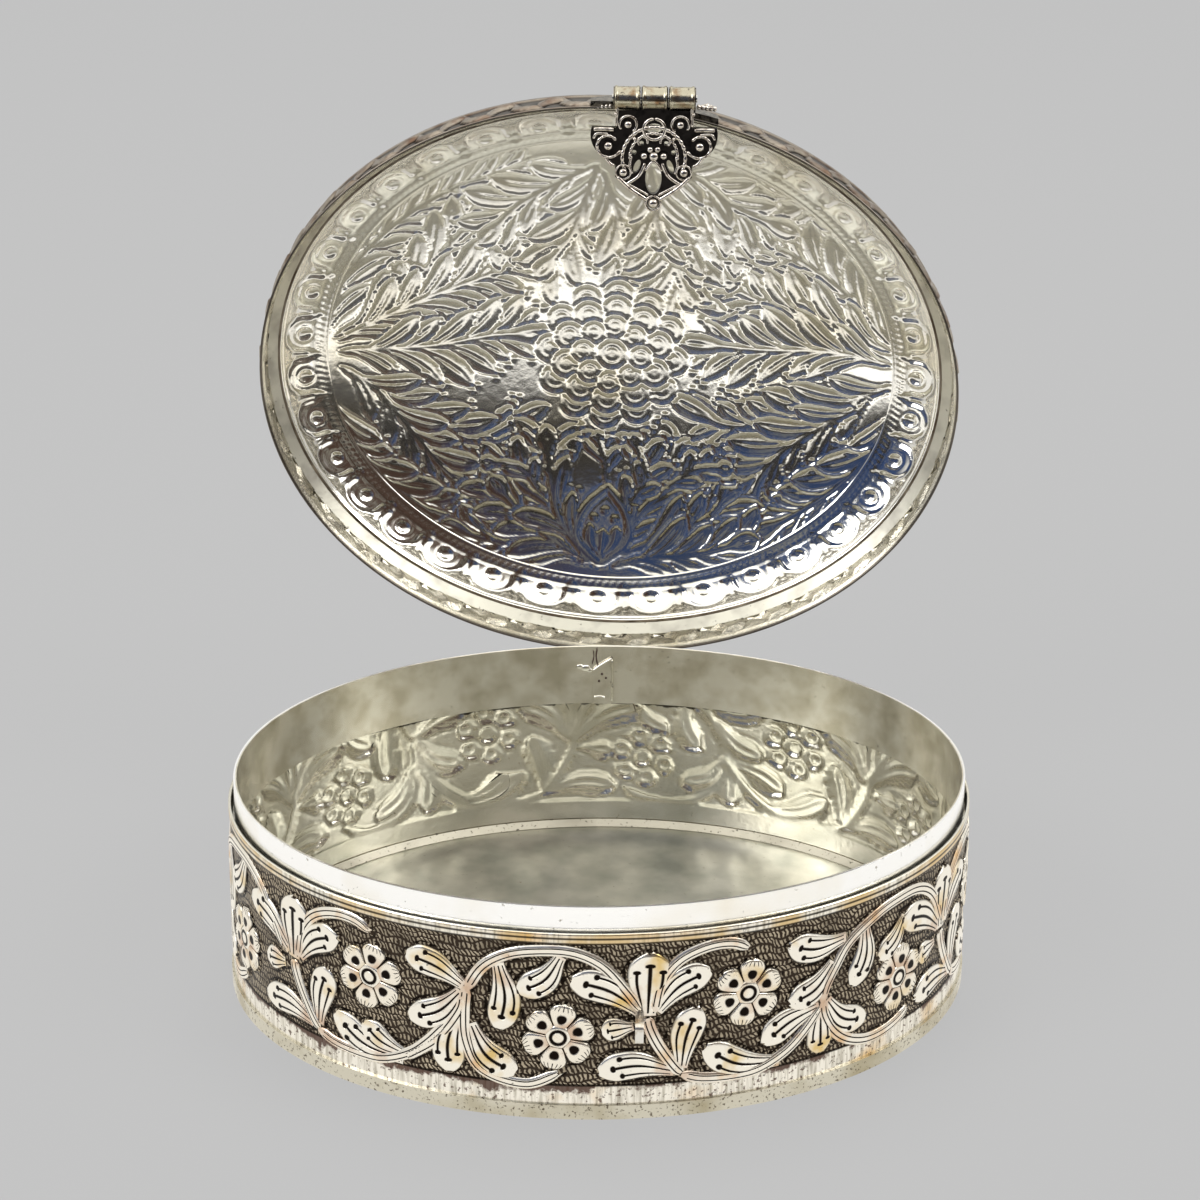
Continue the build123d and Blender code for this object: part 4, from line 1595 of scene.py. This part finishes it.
@dataclass
class Studio:
    """Pale floor, soft lamps and the camera, whose place is in millimetres."""

    spot: tuple[float, float, float] = (-56.285, -682.049, 385.616)
    right: tuple[float, float, float] = (0.99695487, -0.07736765, 0.0097585)
    up: tuple[float, float, float] = (0.02159243, 0.39412861, 0.91880161)
    lens: float = 100.234
    aim: tuple[float, float, float] = (0.0, 0.0, 0.08)

    def place(self, name: str, data: bpy.types.ID, matrix: Matrix | None = None) -> Object:
        """Put a new object in the scene."""
        thing = bpy.data.objects.new(name, data)
        bpy.context.scene.collection.objects.link(thing)
        thing.matrix_world = matrix or Matrix.Identity(4)
        return thing

    def camera(self) -> None:
        """Stand the camera."""
        data = bpy.data.cameras.new("camera")
        data.lens, data.sensor_width = self.lens, 36.0
        data.clip_start, data.clip_end = 0.01, 50.0
        right, up = Vector(self.right).normalized(), Vector(self.up).normalized()
        turn = Matrix((right, up, right.cross(up))).transposed().to_4x4()
        bpy.context.scene.camera = self.place("camera", data, Matrix.Translation(Vector(self.spot) * MM) @ turn)

    def floor(self) -> None:
        """Lay the floor: flat grey to the camera with a trace of shadow, and a painted reflection that glows in glossy
        rays only, dark far in front of the box and bright nearer it.
        """
        bm = bmesh.new()
        bmesh.ops.create_grid(bm, x_segments=8, y_segments=8, size=4.0)
        mesh = bpy.data.meshes.new("floor")
        bm.to_mesh(mesh)
        bm.free()
        floor = self.place("floor", mesh)
        material = bpy.data.materials.new("studio_paper")
        material.use_nodes = True
        tree = material.node_tree
        tree.nodes.clear()
        add = partial(add_node, tree)
        ray = add("LightPath").outputs
        paper = add("BsdfDiffuse", {"Color": linear("#b4b4b4")})
        flat = add("Emission", {"Color": linear("#c0c0c0"), "Strength": 1.0})
        seen = add("MixShader", 0.86, paper, flat)
        across = add("SeparateXYZ", add("TexCoord").outputs["Object"]).outputs[1]
        # Painted reflection: to glossy rays the floor glows. It is dark from 0.4 m in front of the box onwards, near
        # white elsewhere, and at twice white about 0.25 m in front.
        near = add("MapRange", across, -0.40, -0.27)
        painted_reflection_colour = add("Mix", near, linear("#262422"), linear("#efede8"))
        painted_reflection_strength = add("MapRange", across, -0.24, -0.19, 2.1, 1.12)
        mirrored = add("Emission", {"Color": painted_reflection_colour, "Strength": painted_reflection_strength})
        shown = add("MixShader", ray["Is Camera Ray"], paper, seen)
        final = add("MixShader", ray["Is Glossy Ray"], shown, mirrored)
        add("OutputMaterial", {"Surface": final})
        mesh.materials.append(material)

    def world(self) -> None:
        """Make the room: bright above and behind, and a dark navy and brown side towards the viewer."""
        world = bpy.data.worlds.new("studio")
        bpy.context.scene.world = world
        world.use_nodes = True
        tree = world.node_tree
        tree.nodes.clear()
        add = partial(add_node, tree)
        ways = add("TexCoord").outputs["Generated"]
        x, y, z = add("SeparateXYZ", ways).outputs
        low = add("MapRange", z, -0.32, -0.2)
        high = add("MapRange", z, 0.56, 0.68, 1.0, 0.0)
        front = add("MapRange", y, -0.45, -0.15, 1.0, 0.0)
        side = add("MapRange", x, -0.15, 0.2)
        walls = add("Mix", side, linear("#33466e"), linear("#4b3a32"))
        shapes = add("TexNoise", {"Vector": ways, "Scale": 7.0, "Detail": 3.0})
        shape = add("MapRange", shapes, 0.5, 0.62, 0.0, 0.75)
        room = add("Mix", shape, walls, linear("#8f8d84"))
        band = add("Math", low, high, operation="MULTIPLY")
        dark = add("Math", band, front, operation="MULTIPLY")
        mirrored = add("Mix", dark, linear("#e9e8e4"), room)
        above = add("MapRange", z, 0.45, 0.8, 1.05, 2.4)
        overhead = add("MapRange", z, 0.84, 0.9, 1.0, 0.86)
        level = add("Math", above, overhead, operation="MULTIPLY")
        ray = add("LightPath").outputs
        fill = add("Background", {"Color": linear("#f2f2f2"), "Strength": 0.75})
        glossy = add("Background", {"Color": mirrored, "Strength": level})
        back = add("Background", {"Color": linear("#c1c1c1"), "Strength": 1.0})
        lit = add("MixShader", ray["Is Glossy Ray"], fill, glossy)
        add("OutputWorld", {"Surface": add("MixShader", ray["Is Camera Ray"], lit, back)})

    def lamp(self, name: str, spot: Sequence[float], size: float, power: float, mirrored: bool = True) -> None:
        """Hang one soft square lamp that faces the box.

        Args:
            name: Name of the lamp.
            spot: Its place, in metres.
            size: Length of its side, in metres.
            power: Its power, in watts.
            mirrored: Whether polished metal mirrors it.
        """
        data = bpy.data.lights.new(name, "AREA")
        data.size, data.energy = size, power
        turn = (Vector(self.aim) - Vector(spot)).to_track_quat("-Z", "Y").to_matrix().to_4x4()
        self.place(name, data, Matrix.Translation(spot) @ turn).visible_glossy = mirrored

    def build(self) -> None:
        """Set the studio up."""
        bpy.context.scene.view_settings.view_transform = "Standard"
        self.camera()
        self.floor()
        self.world()
        self.lamp("lamp_left", (-1.3, -0.7, 1.1), 0.9, 12.0)
        self.lamp("lamp_right", (1.3, -0.5, 1.3), 0.9, 9.0)
        self.lamp("lamp_top", (0.0, 0.5, 1.7), 1.2, 22.0, mirrored=False)


# ---------------------------------------------------------------- the box


def vine_marks(plan: OvalPlan, pairs: int = 40, length: float = 6.2, lag: float = 6.0) -> list[Form]:
    """Slanted leaves in pairs along the lid's band.

    Args:
        plan: Oval that the band follows.
        pairs: Number of pairs round it.
        length: What a leaf takes along the band.
        lag: Distance along the band between the two leaves of a pair.

    Returns:
        The leaves.
    """
    vine: list[Form] = []
    for k in range(pairs):
        start = k * plan.length / pairs
        for way, shift, low, high in ((1, 0.0, 47.6, 54.4), (-1, lag, 54.8, 48.2)):
            path = bowed((start + shift, low), (start + length + shift, high), 0.25 * way, 8)
            vine.append(Mark(path, 1.9, 1.0, grooves=2, rim=0.3))
    return vine


def main() -> None:
    """Dress the box piece by piece."""
    logging.basicConfig(level=logging.INFO, format="%(name)s: %(message)s")
    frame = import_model()
    for name, finish in NODE_FINISHES.items():
        mesh = frame["nodes"][name].data
        mesh.materials.clear()
        mesh.materials.append(finish.make())
    joints = {joint["name"]: joint for joint in frame["joints"]}
    hinge, hinge_way = Vector(joints["lid_hinge"]["pos_m"]) / MM, Vector(joints["lid_hinge"]["axis"])
    hang, hang_way = Vector(joints["hasp_hang"]["pos_m"]) / MM, -Vector(joints["hasp_hang"]["axis"])
    opening = Matrix.Rotation(math.radians(-joints["lid_hinge"]["range_deg"][0]), 4, hinge_way)
    lid = Matrix.Translation(hinge) @ opening @ Matrix.Translation(-hinge)

    plan = OvalPlan(84.5, 68.6)
    garden = WallGarden(plan)
    wall = ChasedBand(
        "wall_sheet", Body.BOX, "side_wall", plan, 1.0, 44.9, (8.1, 42.4), garden.marks(), (WALL_OUT, WALL_IN)
    )
    wall.build(Matrix.Identity(4))
    garden.build()
    band = ChasedBand(
        "lid_band_sheet", Body.LID, "lid_band", plan, 45.2, 57.2, (46.4, 56.4), vine_marks(plan), (BAND_OUT, BAND_IN),
        columns=700, rows=24, sink=0.35, soft=0.85, room=0.3,
    )
    band.build(lid)
    HaspTrim(hang, hang_way).build()
    plate = PlateTrim(lid.inverted() @ hang, hang_way, face=-2.2, bend=1 / 210, near=2.7, way=-1)
    settle(plate.relief(), "hasp_plate_scrolls", Body.LID, Slot.CASTING, [RUBBED.make()], lid @ plate.frame())
    highs = HINGE_HIGHS.make()
    for name, body, way, place in (
        ("rear_hinge_body_scrolls", Body.BOX, 1, Matrix.Identity(4)), ("rear_hinge_lid_scrolls", Body.LID, -1, lid)
    ):
        leaf = SolderedLeafTrim(hinge, hinge_way, face=-1.55, bend=1 / 210, near=3.6, way=way)
        settle(leaf.relief(), name, body, Slot.HINGE, [highs], place @ leaf.frame())
    sprays = [mark for line in BRANCHES for mark in Spray(line).marks()]
    sprays += [mark for line in SHORT_BRANCHES for mark in Spray(line, lobe=9.0, width=2.0, spacing=5.0).marks()]
    sprays += bud_marks((3.0, -53.5), 20.0) + Rosette().marks()
    LidDome(80.8, 64.9, 15.3, True, sprays, DOME_IN, 0.4).build("inner", (1040, 34), lid)
    LidDome(81.5, 65.6, 16.0, False, sprays, DOME_OUT, 0.75).build("outer", (700, 24), lid)
    LapSolder().build()
    Studio().build()


if __name__ == "__main__":
    main()
